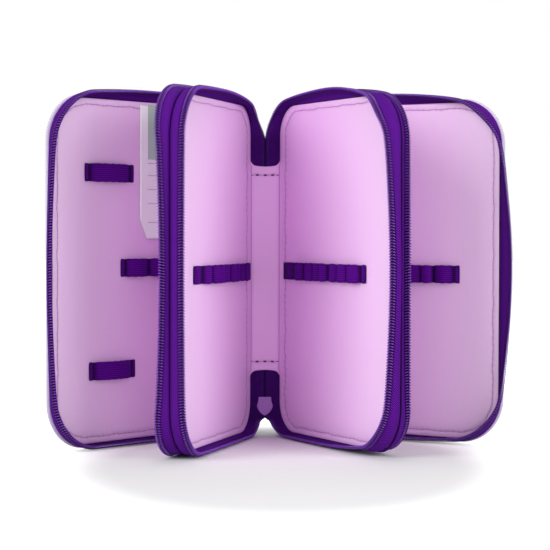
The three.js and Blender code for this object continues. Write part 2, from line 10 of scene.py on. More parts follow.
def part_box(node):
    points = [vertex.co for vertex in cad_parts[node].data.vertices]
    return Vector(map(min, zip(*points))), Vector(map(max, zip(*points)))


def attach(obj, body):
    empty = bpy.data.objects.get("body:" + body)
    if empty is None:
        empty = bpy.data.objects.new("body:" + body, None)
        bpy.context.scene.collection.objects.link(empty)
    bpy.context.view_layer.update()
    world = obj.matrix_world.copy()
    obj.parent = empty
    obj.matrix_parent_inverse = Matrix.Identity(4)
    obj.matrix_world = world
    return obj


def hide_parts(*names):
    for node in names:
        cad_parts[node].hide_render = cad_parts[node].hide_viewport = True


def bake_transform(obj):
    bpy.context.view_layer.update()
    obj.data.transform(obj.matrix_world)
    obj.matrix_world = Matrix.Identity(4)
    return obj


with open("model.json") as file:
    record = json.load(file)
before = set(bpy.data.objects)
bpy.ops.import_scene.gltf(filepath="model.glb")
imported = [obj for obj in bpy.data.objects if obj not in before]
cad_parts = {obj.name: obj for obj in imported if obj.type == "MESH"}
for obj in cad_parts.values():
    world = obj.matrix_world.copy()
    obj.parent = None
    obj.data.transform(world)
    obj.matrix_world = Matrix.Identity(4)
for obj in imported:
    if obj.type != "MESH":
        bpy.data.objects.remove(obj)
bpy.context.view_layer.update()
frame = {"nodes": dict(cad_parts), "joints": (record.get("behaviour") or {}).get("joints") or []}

MM = 0.001
BEVEL = 0.22
TURN = 2 * math.pi

# Leaves
COVERS = ("left_cover", "right_cover")
LEAVES = ("left_cover", "left_divider", "right_divider", "right_cover")
LEAF_HEIGHT = 190
LEAF_WIDTH = 128
SPINE_RADIUS = 17
FREE_RADIUS = 24
LEAF_THICKNESS = 3
CLEARANCE = 0.3
BOARD_INSET = 0.3
COVER_OVERHANG = 1.2
ARC_STEPS = 24
EDGE_STEPS = (72, 110, 72, 120)

# Spine strips
STRIPS = ("middle_spine", "left_spine", "right_spine")
STRIP_WIDTH = 17.3
STRIP_TOP = 155.5
STRIP_BOTTOM = 35
STRIP_CUT = 3
STRIP_SAG = 1.1
STRIP_BACK = -2.2
STRIP_THICKNESS = 0.45
STRIP_COLUMNS = 25
# The outer cloth stops short of the folds, which have cloth of their own and need room to close
STRIP_LINING_MARGIN = 0.1
STRIP_OUTER_MARGIN = 1.0
FOLD_THICKNESS = 0.3
FOLD_STEPS = 9

# Profiles of the panels: how far in from a leaf's edge or a strip's end, and how high
LINING_PROFILE = [
    (-0.35, -0.35), (-0.38, -0.12), (-0.1, 0.04), (0.5, 0.12), (1.2, 0.15), (1.9, 0.1), (2.5, 0),
    (2.9, -0.06), (3.1, -0.08), (3.3, -0.06), (3.7, -0.01), (4.4, 0.06), (5.4, 0.12), (7, 0.17),
    (9.5, 0.2), (12, 0.21),
]
OUTER_PROFILE = [
    (-1.5, -1.5), (-2.2, -1.0), (-2.5, -0.3), (-2.2, 0.35), (-1.4, 0.7), (-0.2, 0.84), (1, 0.86), (2, 0.72),
    (2.6, 0.52), (2.9, 0.42), (3.1, 0.4), (3.3, 0.42), (3.7, 0.54), (4.5, 0.8), (5.8, 1.08), (7.8, 1.32),
    (10, 1.5), (12, 1.6),
]
STRIP_PROFILE = [
    (0, -0.4), (0.15, -0.15), (0.5, 0), (1, 0.04), (2, 0.06), (3.4, 0.04), (4.3, -0.02), (4.8, -0.1),
    (5.1, -0.18), (5.4, -0.1), (5.9, -0.02), (6.8, 0.04), (8.5, 0.06), (12, 0.07), (18, 0.07), (26, 0.07),
    (36, 0.07), (46, 0.07),
]
LINING_CROWN = 0.22
OUTER_CROWN = 1.9
CROWN_SHARES = (0.86, 0.7, 0.52, 0.34, 0.18, 0.06)
LINING_GROOVE = 0.16
OUTER_GROOVE = 0.3
STRIP_GROOVE = 0.2
GROOVE_REACH = 0.6

# Seams
STITCH = 3.9
STITCH_INSET = 3.1
STITCH_SHOWS = (0.16, 0.84)
THREAD = 0.24
LINING_THREAD_LEVEL = -0.05
OUTER_THREAD_LEVEL = 0.38
THREAD_RISE = np.array([-0.2, 0.0, 0.04, 0.0, -0.2])
STRIP_SEAM = 5.1
STRIP_NEEDLE = 4.5
STRIP_KNOTS = np.array([0.05, 0.25, 0.5, 0.77, 0.96]) * STRIP_WIDTH
KNOT = 0.42
KNOT_RISE = np.array([-0.1, 0.02, 0.05, 0.02, -0.1])
CROSS_THREAD = 0.17
CROSS_RISE = np.array([-0.15, 0.0, 0.03, 0.0, -0.15])
# At the fold, a ring's edge is set in by twice its inset, and stands out by a tenth of its overhang
SPINE_INSET_SHARE = 2
SPINE_OVERHANG_SHARE = 0.1
# Painted shade, from 0 to 1: how dark a fold's crease, a tape on its strip, a tape's inner side and that
# side's rim are painted, for the shade that falls there
CREASE_SHADE = 0.9
STRIP_SHADE = 0.45
INNER_SHADE = 0.1
INNER_RIM_SHADE = 0.8

# Overlocked edge of the covers, and the dark binding round every leaf
WHIP_PITCH = 1.5
WHIP_STEPS = 8
WHIP_OUT = 1.7
WHIP_LEVEL = -0.35
WHIP_REACH = 0.95
WHIP_DEPTH = 1.15
WHIP_GAP = 5
COVER_BINDING = -2.35
DIVIDER_BINDING = -2.6

# Zips: how far out and how deep each tape is rooted, and the tape's own sizes
ROOT_OUT = 0.8
COVER_ROOT = 1.2
DIVIDER_ROOT = 0.8
ROOTS = {"left_divider_outer": 1.7, "left_divider_inner": 0.5}
STRIP_ROOT = 0.5
TAPE_TUCK = 6
TAPE_LEVEL = -0.9
TAPE_THICKNESS = 0.7
TAPE_SPREAD = 9
TAPE_STEPS = 12
TAPE_PULL = 0.42
RIM_HEIGHT = STRIP_WIDTH / 2 - CLEARANCE
TAPE_UNDER_COIL = 0.9
CHAIN_BAND = 3.7
CHAIN_OVERLAP = 0.1
MESH_DEPTH = 0.5
COIL_PITCH = 1.5
COIL_REACH = 1.95
COIL_HALF_WIDTH = 1.55
COIL_HALF_DEPTH = 0.6
COIL_SIDE = 0.5
COIL_WIRE = 0.37
COIL_HEAD_SHARE = 0.4
COIL_SQUARENESS = 0.75
COIL_STEPS = 8
COIL_STARTS = 5.6
CORD_OUT = 0.34
CORD_DIP = 0.1
CORD_BACK = 0.1
# The heights between which a zip half's rim passes from its strip to its leaf, at the top and the bottom, and
# those between which the halves part inside the slider. All of it is nearer to the fold than SPINE_REACH.
LEAVES_TOP = (170, 184)
LEAVES_BOTTOM = (6.5, 0.8)
PARTS = (6.9, 4.6)
SPINE_REACH = 12
# The share of the wall's width over which it goes on from its root, which is always sewn to the leaf
ROOT_SHARE = 0.3
# The line along which the zip passes from its strip to its leaf: its length, the height on the strip that it
# comes from, and the height on the leaf that it points at, that far from the fold
BLEND_LENGTH = 14
BLEND_TOP = (160, 186)
BLEND_BOTTOM = (12.5, 2.5)
BLEND_OUT = 3

# Label
LABEL_WIDTH = 30
LABEL_LENGTH = 76
LABEL_LOOP_GAP = 5.3
LABEL_CUT = (5, 11.5)
LABEL_THICKNESS = 0.24
LABEL_GRID = (61, 25)
LABEL_BLOCK = (24.1, 45.2)
LABEL_RULES = (43.0, 36.1, 28.1, 20.1, 9.3)
LABEL_RULE = 0.28

# How far each fold stands open, in degrees past the closed case
OPEN = {
    "left": {"divider": 18, "strip": 6, "cover": 19},
    "right": {"divider": 28.5, "strip": 21.5, "cover": 7.8},
}

# A zip half's wall at places round a leaf, from the spine's upper corner on. The first two are the rim's lean
# out of the leaf and its height, as shares of the height at which two closed halves meet. The others are the
# wall's leans in degrees where it starts and where it ends, under its coil. Every face has the same walls at
# its last two places, at the foot and in the spine's lower corner.
SPINE_WALL = (0.04, 1, 12, -4)
FOOT_WALL = (0.14, 1, 24, -4)
THROAT_WALL = (0.22, 0.79, 16, -4)
ZIP_WALLS = {
    "left_cover": [
        SPINE_WALL, (0.47, 1, 40, 5), (0.62, 0.97, 52, 5), (0.08, 1, 40, -25), (0.66, 0.72, 56, 0),
        (0.04, 1, 36, -25),
    ],
    "left_divider_outer": [
        SPINE_WALL, (0.58, 0.96, 60, 5), (0.7, 0.78, 76, 12), (0.38, 0.9, 76, 4), (0.55, 0.38, 110, 24),
        (0.2, 0.96, 60, 0),
    ],
    "left_divider_inner": [
        (0.04, 0.72, 12, -4), (-0.2, 0.7, 24, -14), (0.54, 0.96, 60, 5), (0.18, 1, 62, -22),
        (0.37, 0.99, 56, -18), (0.02, 1, 52, -25),
    ],
    "right_divider_inner": [
        SPINE_WALL, (0.1, 0.85, 40, -5), (0.86, 0.5, 80, 36), (-0.72, 1.03, 24, -40), (0.42, 0.95, 76, -28),
        (-0.6, 1.03, 24, -40),
    ],
    "right_divider_outer": [
        SPINE_WALL, (0.5, 0.98, 50, 5), (0.72, 0.74, 70, 25), (-0.32, 0.72, 118, -10), (0.15, 0.56, 108, 25),
        (-0.35, 0.84, 112, -30),
    ],
    "right_cover": [
        SPINE_WALL, (0.6, 0.93, 50, 8), (0.74, 0.8, 70, 26), (-0.4, 1, 40, -32), (1.22, 0.4, 62, 72),
        (-0.2, 1, 50, -30),
    ],
}
CORNER_SHARE = 0.5
RIM_EASE = 11
LAST_PLACE = 7

# Elastics
ELASTIC_WIDTH = 10.3
ELASTIC_THICKNESS = 0.8
ELASTIC_RIBS = 9
ELASTIC_BASE = 0.3 + ELASTIC_THICKNESS / 2
LOOP_RISE = 3.5
LOOP_STEPS = 14
SLACK = 0.15
TACKS = 4
TACK_RISE = ELASTIC_THICKNESS * 0.33 + np.array([0, 0.14, 0.14, 0])
# Their ends as shares of the leaf's width, their height as a share of its height, and their seams as shares
# of their own length
HIDDEN_LOOPS = (0.156, 0.781, 0.5, [0.08, 0.29, 0.5, 0.71, 0.92])
LOOP_SHARES = {
    "left_cover_top_loop": (0.547, 0.828, 0.787, [0.08, 0.92]),
    "left_cover_middle_loops": (0.281, 0.621, 0.508, [0.08, 0.53, 0.93]),
    "left_cover_bottom_loop": (0.539, 0.805, 0.208, [0.08, 0.92]),
    "left_divider_outer_loops": HIDDEN_LOOPS,
    "left_divider_inner_loops": (
        0.023, 0.766, 0.492, [0.11, 0.175, 0.25, 0.33, 0.42, 0.52, 0.635, 0.725, 0.86],
    ),
    "right_divider_inner_loops": (0.051, 0.762, 0.495, [0.17, 0.285, 0.4, 0.485, 0.58, 0.69, 0.805, 0.945]),
    "right_divider_outer_loops": HIDDEN_LOOPS,
    "right_cover_loops": (0.297, 0.816, 0.489, [0.12, 0.29, 0.46, 0.64, 0.76, 0.95]),
}

# The camera of the photograph, in millimetres and degrees, and what it sees, in metres
CAMERA_PLACE = (-9.68, -937.44, 120.64)
CAMERA_DOWN = 1.499
CAMERA_YAW = 0.338
CAMERA_ROLL = 0.106
FOCAL_PIXELS = 1678.4
IMAGE_PIXELS = 550
SENSOR = 36
NEAREST = 0.05
FARTHEST = 50

# The lamps: name, place, size and watts, in metres
WORLD_LIGHT = 0.25
AIM = (0, 0, 0.1)
LAMPS = [
    ("key", (-1.0, -0.85, 0.75), 1.0, 13.7),
    ("fill", (1.05, -0.9, 0.55), 1.0, 11.9),
    ("front", (0.0, -1.45, 0.55), 1.0, 4.4),
    ("top", (0.0, 0.1, 1.4), 1.2, 3.3),
    ("back", (0.3, 0.9, 1.1), 1.2, 4.5),
]

# The floor in metres: its size and level, the shadow's middle and reach on it, and the shares of that reach
# between which it turns white
FLOOR_SIZE = 6.0
FLOOR_LEVEL = -0.0003
SHADOW_MIDDLE = (0, -0.07, 0)
SHADOW_REACH = (0.14, 0.21, 1)
FLOOR_GLOW = (0.62, 1.02)

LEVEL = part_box("left_divider_board")[0].z / MM - BOARD_INSET
UP = np.array([0.0, 0.0, 1.0])


def passing(value, begin, end):
    """0 up to begin, 1 from end on, and eased between them."""
    share = np.clip((value - begin) / (end - begin), 0, 1)
    return share * share * (3 - 2 * share)


def fading(offset, reach):
    """1 at no offset, and nearly 0 at two reaches."""
    return np.exp(-((offset / reach) ** 2))


def unit(vectors):
    return vectors / np.linalg.norm(vectors, axis=-1, keepdims=True)


def mirrored(values):
    """Values and then the same values backwards."""
    return np.concatenate([values, values[::-1]])


def closed(line):
    return np.vstack([line, line[:1]])


def lengths(points):
    """The length along a line of points, up to each of them."""
    steps = np.linalg.norm(np.diff(points, axis=0), axis=1)
    return np.concatenate([[0], np.cumsum(steps)])


def along_line(places, along, line):
    """The points of a line at places along it."""
    return np.column_stack([np.interp(places, along, column) for column in line.T])


def cloth_places(along, across):
    """Millimetres along and across the cloth at each point of a grid."""
    return np.stack(np.broadcast_arrays(along, across), axis=-1)


# Flat frames of the leaves and strips


class Flat:
    """A flat frame: u runs away from the fold, n out of the lining into the compartment, and z up."""

    def __init__(self, fold, direction, hand):
        angle = math.radians(direction)
        self.u = np.array([math.cos(angle), math.sin(angle), 0])
        self.n = np.array([-math.sin(angle), math.cos(angle), 0]) * hand
        self.origin = np.array([*fold, LEVEL])

    def at(self, u, n, z):
        u, n, z = (np.asarray(v, float)[..., None] for v in np.broadcast_arrays(u, n, z))
        return self.origin + u * self.u + n * self.n + z * UP

    def rings(self, rings, levels):
        """The points of each ring, given in u and z, at its level."""
        return np.stack([self.at(ring[:, 0], level, ring[:, 1]) for ring, level in zip(rings, levels)])

    def turned_over(self):
        other = Flat(self.origin[:2] - LEAF_THICKNESS * self.n[:2], 0, 1)
        other.u, other.n = self.u, -self.n
        return other


def fold_of(joint):
    found = next(j for j in frame["joints"] if j["name"] == joint)
    return np.array(found["pos_m"][:2]) / MM


def flats():
    """The flat frame of each leaf and strip, by body."""
    out = {"middle_spine": Flat(fold_of("right_divider_fold"), 180, 1)}
    for side, hand in (("left", -1), ("right", 1)):
        divider = OPEN[side]["divider"]
        strip = divider + OPEN[side]["strip"]
        cover = strip + OPEN[side]["cover"]
        sideways = 90 - 90 * hand
        out[f"{side}_divider"] = Flat(fold_of(f"{side}_divider_fold"), -90 + hand * divider, -hand)
        out[f"{side}_spine"] = Flat(fold_of(f"{side}_spine_fold"), sideways + hand * strip, -hand)
        out[f"{side}_cover"] = Flat(fold_of(f"{side}_cover_fold"), -90 + hand * cover, -hand)
    return out


FLATS = flats()


class Face:
    """One lined face of a leaf, with the strip that its zip half runs on to."""

    def __init__(self, name, strip, far):
        self.name, self.strip, self.far = name, strip, far
        self.body = name.removesuffix("_outer").removesuffix("_inner")
        flat = FLATS[self.body]
        self.flat = flat.turned_over() if name.endswith("_outer") else flat
        self.strip_flat = FLATS[strip]
        self.root = ROOTS.get(name, COVER_ROOT if self.body in COVERS else DIVIDER_ROOT)

    def on_strip(self, x, n, z):
        """A point of this face's half of the strip, x from its own fold."""
        return self.strip_flat.at(STRIP_WIDTH - x if self.far else x, n, z)


FACES = [
    Face("left_cover", "left_spine", True),
    Face("left_divider_outer", "left_spine", False),
    Face("left_divider_inner", "middle_spine", True),
    Face("right_divider_inner", "middle_spine", False),
    Face("right_divider_outer", "right_spine", False),
    Face("right_cover", "right_spine", True),
]


# Materials


class Nodes:
    """Short names for building the nodes of a material or of the world."""

    def __init__(self, name, owners=bpy.data.materials):
        self.owner = owners.new(name)
        self.owner.use_nodes = True
        self.tree = self.owner.node_tree
        self.shader = self.tree.nodes.get("Principled BSDF")

    def add(self, kind, **settings):
        made = self.tree.nodes.new("ShaderNode" + kind)
        for key, value in settings.items():
            socket = key.replace("_", " ")
            if socket in made.inputs:
                made.inputs[socket].default_value = value
            else:
                setattr(made, key, value)
        return made

    def link(self, source, target):
        self.tree.links.new(source, target)

    def fill(self, sockets, values):
        """Sets numbers, colours and vectors on sockets, and links other sockets to them."""
        for socket, value in zip(sockets, values):
            if isinstance(value, (int, float)):
                socket.default_value = value
            elif isinstance(value, tuple):
                socket.default_value = (*value, 1)[: len(socket.default_value)]
            else:
                self.link(value, socket)

    def math(self, operation, first, second=0.0, third=0.5):
        made = self.add("Math", operation=operation)
        self.fill(made.inputs, (first, second, third))
        return made.outputs[0]

    def vector(self, operation, *values):
        made = self.add("VectorMath", operation=operation)
        self.fill(made.inputs, values)
        return made.outputs

    def mix(self, factor, first, second):
        made = self.add("Mix", data_type="RGBA")
        self.fill((made.inputs["Factor"], made.inputs[6], made.inputs[7]), (factor, first, second))
        return made.outputs[2]

    def times(self, value, share):
        return self.math("MULTIPLY", value, share)

    def lifted(self, wave, share):
        """That share of a wave, with its middle at a half."""
        return self.math("MULTIPLY_ADD", wave, share, 0.5)

    def wave(self, place, pitch, form="SINE"):
        """A wave from -1 to 1 along places in millimetres."""
        return self.math(form, self.times(place, TURN / pitch))

    def weave(self, along, across, pitch):
        """The height of a fine plain weave with that thread pitch in millimetres."""
        return self.times(self.wave(along, pitch), self.wave(across, pitch))

    def noise(self, vector, scale, detail=2.0):
        made = self.add("TexNoise", Scale=scale, Detail=detail)
        self.link(vector, made.inputs["Vector"])
        return made.outputs["Fac"]

    def cloth(self):
        """Millimetres along and across the cloth, as the meshes carry them."""
        made = self.add("Attribute", attribute_name="cloth")
        parts = self.add("SeparateXYZ")
        self.link(made.outputs["Vector"], parts.inputs[0])
        return made.outputs["Vector"], parts.outputs[0], parts.outputs[1]

    def place(self):
        return self.add("TexCoord").outputs["Object"]

    def bump(self, height, distance, strength=1.0):
        made = self.add("Bump", Distance=distance, Strength=strength)
        self.link(height, made.inputs["Height"])
        self.link(made.outputs[0], self.shader.inputs["Normal"])

    def color(self, base, painted_shade_color=None):
        """The base colour, and the darker one that it turns to where the seam attribute paints shade."""
        if painted_shade_color:
            seam = self.add("Attribute", attribute_name="seam").outputs["Fac"]
            base = self.mix(seam, base, painted_shade_color)
        self.link(base, self.shader.inputs["Base Color"])

    def set(self, **settings):
        for key, value in settings.items():
            self.shader.inputs[key.replace("_", " ")].default_value = value


def srgb(red, green, blue):
    """A colour of the picture, 0 to 255, as the linear one that shaders take."""
    parts = (v / 255 for v in (red, green, blue))
    return tuple(v / 12.92 if v <= 0.04045 else ((v + 0.055) / 1.055) ** 2.4 for v in parts)


def lining_material():
    """Smooth lilac lining with a faint weave, with painted shade that makes it deeper and more saturated near
    the fold and paler away from it, and painted shade in its sewn grooves, needle holes and creases.
    """
    n = Nodes("lilac_lining")
    cloth, along, across = n.cloth()
    # Painted shade and sheen: deeper, more saturated lilac near the fold, where the leaves shade each other,
    # turning paler towards the free edge.
    out = n.math("MINIMUM", n.math("DIVIDE", along, LEAF_WIDTH), 1.0)
    base = n.mix(out, srgb(242, 176, 244), srgb(234, 207, 236))
    base = n.mix(n.times(n.noise(cloth, 0.02), 0.3), base, srgb(238, 199, 240))
    fine = n.noise(cloth, 1.8, 3.0)
    base = n.mix(n.times(fine, 0.2), base, srgb(216, 162, 218))
    # Painted shade: the seam attribute darkens the sewn grooves, needle holes and fold creases towards this
    # colour.
    n.color(base, srgb(146, 66, 156))
    n.bump(n.math("ADD", n.weave(along, across, 0.55), n.times(fine, 1.4)), 0.00003, 0.6)
    n.set(Roughness=0.5, Sheen_Weight=0.4, Sheen_Roughness=0.4, Specular_IOR_Level=0.5)
    return n.owner


def outer_material():
    """Pale lilac canvas of the covers."""
    n = Nodes("pale_canvas")
    cloth, along, across = n.cloth()
    base = n.mix(n.noise(cloth, 0.03), srgb(226, 214, 236), srgb(238, 229, 244))
    weave = n.weave(along, across, 0.9)
    # Painted shade: the seam attribute darkens the sewn grooves, needle holes and fold creases towards this
    # colour.
    n.color(n.mix(n.lifted(weave, 0.12), base, srgb(198, 180, 214)), srgb(150, 120, 176))
    n.bump(n.math("ADD", weave, n.noise(cloth, 2.5)), 0.00008, 0.8)
    n.set(Roughness=0.75, Sheen_Weight=0.2, Specular_IOR_Level=0.25)
    return n.owner


def tape_material():
    """Dark purple zip tape, woven in herringbone bands along its length."""
    n = Nodes("zip_tape_twill")
    cloth, along, across = n.cloth()
    slant = n.math("ADD", along, n.times(n.math("PINGPONG", across, 3.0), 0.9))
    lift = n.lifted(n.wave(slant, 1.35), 0.5)
    fuzz = n.noise(cloth, 3.0, 3.0)
    twill = n.mix(lift, srgb(32, 0, 62), srgb(114, 34, 174))
    # Painted shade: the seam attribute darkens the tape towards near black under its coil, on its inner side
    # and rim, and where it lies on a strip.
    n.color(n.mix(n.times(fuzz, 0.3), twill, srgb(66, 8, 110)), srgb(16, 0, 36))
    n.bump(n.math("ADD", lift, n.times(fuzz, 0.5)), 0.0002)
    n.set(Roughness=0.75, Specular_IOR_Level=0.03)
    return n.owner


def binding_material():
    """The turned seam between the tapes: dark purple cloth, painted nearly black all over for the shade in
    its groove.
    """
    n = Nodes("dark_binding")
    cloth, along, across = n.cloth()
    fuzz = n.noise(cloth, 2.0)
    n.color(n.mix(fuzz, srgb(14, 0, 36), srgb(28, 4, 60)))
    n.bump(n.math("ADD", n.weave(along, across, 0.7), fuzz), 0.00008)
    n.set(Roughness=0.8)
    return n.owner


def speckled_material(name, low, high, grain, fine_grain, depth, strength=1.0, detail=2.0, **finish):
    """A material that varies between two colours, with a finer bump. Its grains are counted per metre."""
    n = Nodes(name)
    place = n.place()
    n.color(n.mix(n.noise(place, grain, detail), low, high))
    n.bump(n.noise(place, fine_grain), depth, strength)
    n.set(**finish)
    return n.owner


def coil_material():
    """Nylon coil: dark purple with small cool glints."""
    n = Nodes("nylon_coil")
    cloth = n.cloth()[0]
    n.color(n.mix(n.noise(cloth, 0.8), srgb(94, 34, 148), srgb(122, 54, 180)))
    n.bump(n.noise(cloth, 4.0), 0.00002)
    n.set(Roughness=0.24, Specular_IOR_Level=0.85, Specular_Tint=(*srgb(226, 200, 255), 1))
    return n.owner


def thread_material(name, low, high):
    """Twisted sewing thread."""
    n = Nodes(name)
    along, across = n.cloth()[1:]
    twist = n.math("SINE", n.math("ADD", n.times(along, 14.0), n.times(across, 6.0)))
    n.color(n.mix(n.lifted(twist, 0.3), low, high))
    n.bump(twist, 0.00003)
    n.set(Roughness=0.6, Specular_IOR_Level=0.15)
    return n.owner


def elastic_material():
    """Dark purple ribbed elastic with a fine cross weave."""
    n = Nodes("ribbed_elastic")
    cloth, along, across = n.cloth()
    ribs = n.wave(across, ELASTIC_WIDTH / ELASTIC_RIBS, "COSINE")
    # Painted shade: the seam attribute darkens the elastic where it is pressed flat at its seams, in the
    # valleys between the loops.
    n.color(n.mix(n.lifted(ribs, 0.35), srgb(52, 0, 90), srgb(100, 8, 152)), srgb(22, 0, 46))
    n.bump(n.math("ADD", n.wave(along, 0.7), n.noise(cloth, 2.0)), 0.00006, 0.8)
    n.set(Roughness=0.7, Specular_IOR_Level=0.06)
    return n.owner


def label_material():
    """White satin ribbon with a plain green block and thin rules across it."""
    n = Nodes("satin_label")
    along, across = n.cloth()[1:]
    inside = n.math("LESS_THAN", along, LABEL_BLOCK[0])
    block = n.times(inside, n.math("GREATER_THAN", across, LABEL_BLOCK[1]))
    satin = n.wave(across, 0.5)
    white = n.mix(n.lifted(satin, 0.2), srgb(246, 246, 249), srgb(253, 252, 254))
    rules = 0.0
    for height in LABEL_RULES:
        off = n.math("ABSOLUTE", n.math("SUBTRACT", across, height))
        rules = n.math("MAXIMUM", n.math("LESS_THAN", off, LABEL_RULE), rules)
    white = n.mix(n.times(n.times(rules, inside), 0.5), white, srgb(150, 140, 158))
    n.color(n.mix(block, white, srgb(176, 204, 186)))
    n.bump(satin, 0.00002)
    n.set(Roughness=0.42, Sheen_Weight=0.2)
    return n.owner


def enamel_material():
    """Lilac enamel on cast metal."""
    return speckled_material(
        "lilac_enamel", srgb(150, 76, 180), srgb(164, 88, 194), 900.0, 2500.0, 0.00002, 0.5,
        Roughness=0.34, Coat_Weight=0.4, Coat_Roughness=0.15,
    )


def board_material():
    """Grey card, which shows only as a fine line inside the seams."""
    return speckled_material(
        "grey_card", srgb(150, 138, 124), srgb(178, 166, 150), 700.0, 1500.0, 0.00004, detail=4.0,
        Roughness=0.9,
    )


LINING = lining_material()
OUTER = outer_material()
TAPE = tape_material()
BINDING = binding_material()
COIL = coil_material()
COIL_THREAD = thread_material("coil_thread", srgb(18, 0, 42), srgb(34, 0, 68))
WHIP_THREAD = thread_material("whip_thread", srgb(206, 190, 224), srgb(226, 214, 238))
SEAM_THREAD = thread_material("seam_thread", srgb(176, 124, 186), srgb(216, 172, 222))
# Knots painted dark, for the shade in the needle holes.
KNOT_SHADE_THREAD = thread_material("knot_shade_thread", srgb(84, 26, 104), srgb(110, 46, 130))
ELASTIC = elastic_material()
LABEL = label_material()
ENAMEL = enamel_material()
CARD = board_material()


# Meshes


def in_scene(name, data):
    """A new object of the scene with that data."""
    made = bpy.data.objects.new(name, data)
    bpy.context.scene.collection.objects.link(made)
    return made


class Shape:
    """Vertices in millimetres with cloth places and painted-shade shares, and faces with a material number.
    """

    def __init__(self):
        self.points, self.cloth, self.seam, self.faces, self.kinds = [], [], [], [], []
        self.count = 0

    def add(self, points, cloth, faces, seam=None, kind=0):
        points = np.asarray(points, float).reshape(-1, 3)
        self.points.append(points)
        self.cloth.append(np.asarray(cloth, float).reshape(-1, 2))
        self.seam.append(np.zeros(len(points)) if seam is None else np.asarray(seam, float).reshape(-1))
        self.faces += [[i + self.count for i in face] for face in faces]
        self.kinds += [kind] * len(faces)
        self.count += len(points)

    def add_sheet(self, front, back, cloth, seam):
        """A grid of points in front and one behind, joined round the edge. Only the front has painted shade.
        """
        rows, columns = front.shape[:2]
        count = rows * columns
        grid = np.arange(count).reshape(rows, columns)
        edge = np.concatenate([grid[:, 0], grid[-1, 1:], grid[-2::-1, -1], grid[0, -2:0:-1]]).tolist()
        faces = grid_faces(rows, columns)
        faces += [tuple(i + count for i in reversed(face)) for face in faces]
        faces += [(a, b, b + count, a + count) for a, b in zip(edge, edge[1:] + edge[:1])]
        self.add([front, back], [cloth, cloth], faces, seam=[seam, 0 * seam])

    def make(self, name, materials, slot, body=None, blend=None, nodes=()):
        """Makes the piece with its materials, hangs it on its body, or leaves it fixed in place when it has a
        blend, and hides the frame nodes that it stands for.

        blend is two bodies and the line between them, from start to end in metres; only whether it is given
        is used.
        """
        mesh = bpy.data.meshes.new(name)
        mesh.from_pydata((np.concatenate(self.points) * MM).tolist(), [], self.faces)
        for material in materials:
            mesh.materials.append(material)
        mesh.polygons.foreach_set("material_index", np.array(self.kinds, np.int32))
        mesh.polygons.foreach_set("use_smooth", np.ones(len(self.faces), bool))
        cloth = mesh.attributes.new("cloth", "FLOAT_VECTOR", "POINT")
        places = np.column_stack([np.concatenate(self.cloth), np.zeros(self.count)])
        cloth.data.foreach_set("vector", places.ravel().astype(np.float32))
        # The seam attribute carries painted shade: grooves, needle holes, creases, the tape under its coil
        # and on its strip, and pressed elastic.
        seam = mesh.attributes.new("seam", "FLOAT", "POINT")
        seam.data.foreach_set("value", np.concatenate(self.seam).astype(np.float32))
        work = bmesh.new()
        work.from_mesh(mesh)
        bmesh.ops.recalc_face_normals(work, faces=work.faces)
        work.to_mesh(mesh)
        work.free()
        piece = in_scene(name, mesh)
        if blend:
            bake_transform(piece)
        else:
            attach(piece, body)
        if nodes:
            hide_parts(*nodes)
        return piece


def grid_faces(rows, columns, close_rows=False, close_columns=False):
    """Quads over a grid of points, row by row."""
    faces = []
    for r in range(rows if close_rows else rows - 1):
        for c in range(columns if close_columns else columns - 1):
            a, b = r * columns + c, r * columns + (c + 1) % columns
            below = ((r + 1) % rows) * columns
            faces.append((a, b, below + (c + 1) % columns, below + c))
    return faces


def ring_faces(rings, count):
    """Quads between closed rings of points, with both ends capped."""
    faces = grid_faces(rings, count, close_columns=True)
    last = (rings - 1) * count
    faces.append(tuple(range(count)))
    faces.append(tuple(range(last + count - 1, last - 1, -1)))
    return faces


def tube(shape, path, aside, radius, sides=5, kind=0):
    """A capped tube along a path. aside points roughly square to the path at each of its points."""
    tangent = unit(np.gradient(path, axis=0))
    first = unit(aside - (aside * tangent).sum(1, keepdims=True) * tangent)
    second = np.cross(tangent, first)
    angles = np.arange(sides) * TURN / sides
    around = np.cos(angles)[:, None] * first[:, None] + np.sin(angles)[:, None] * second[:, None]
    cloth = cloth_places(lengths(path)[:, None], angles * 0.3)
    shape.add(path[:, None] + radius * around, cloth, ring_faces(len(path), sides), kind=kind)


# Linings and outer cloths


def on_corner(corner, degrees):
    """Points of a rounded corner, which is (u, z, radius, first direction), that many degrees on."""
    u, z, radius, start = corner
    angles = np.radians(start + degrees)
    return np.stack([u + radius * np.cos(angles), z + radius * np.sin(angles)], axis=-1)


def leaf_ring(inset):
    """A closed line of points that far inside a leaf's edge, in u and z."""
    far, low, high = LEAF_WIDTH - inset, inset, LEAF_HEIGHT - inset
    back, free = SPINE_RADIUS - max(inset, 0), FREE_RADIUS - inset
    near = CLEARANCE + inset * (SPINE_INSET_SHARE if inset > 0 else SPINE_OVERHANG_SHARE)
    corners = [
        (near + back, low + back, back, 180),
        (far - free, low + free, free, 270),
        (far - free, high - free, free, 0),
        (near + back, high - back, back, 90),
    ]
    line = []
    for corner, following, steps in zip(corners, corners[1:] + corners[:1], EDGE_STEPS):
        line.append(on_corner(corner, np.linspace(0, 90, ARC_STEPS, endpoint=False)))
        begin, end = on_corner(corner, 90), on_corner(following, 0)
        line.append(begin + (end - begin) * np.linspace(0, 1, steps, endpoint=False)[:, None])
    return np.concatenate(line)


def stitched_line():
    """The line of the seam round a leaf and the length along it, in whole stitches."""
    line = leaf_ring(STITCH_INSET)
    along = lengths(closed(line))
    count = round(along[-1] / STITCH)
    stitches = along[:-1] * count / along[-1]
    return line + wander(STITCH_INSET, stitches, count), stitches, count


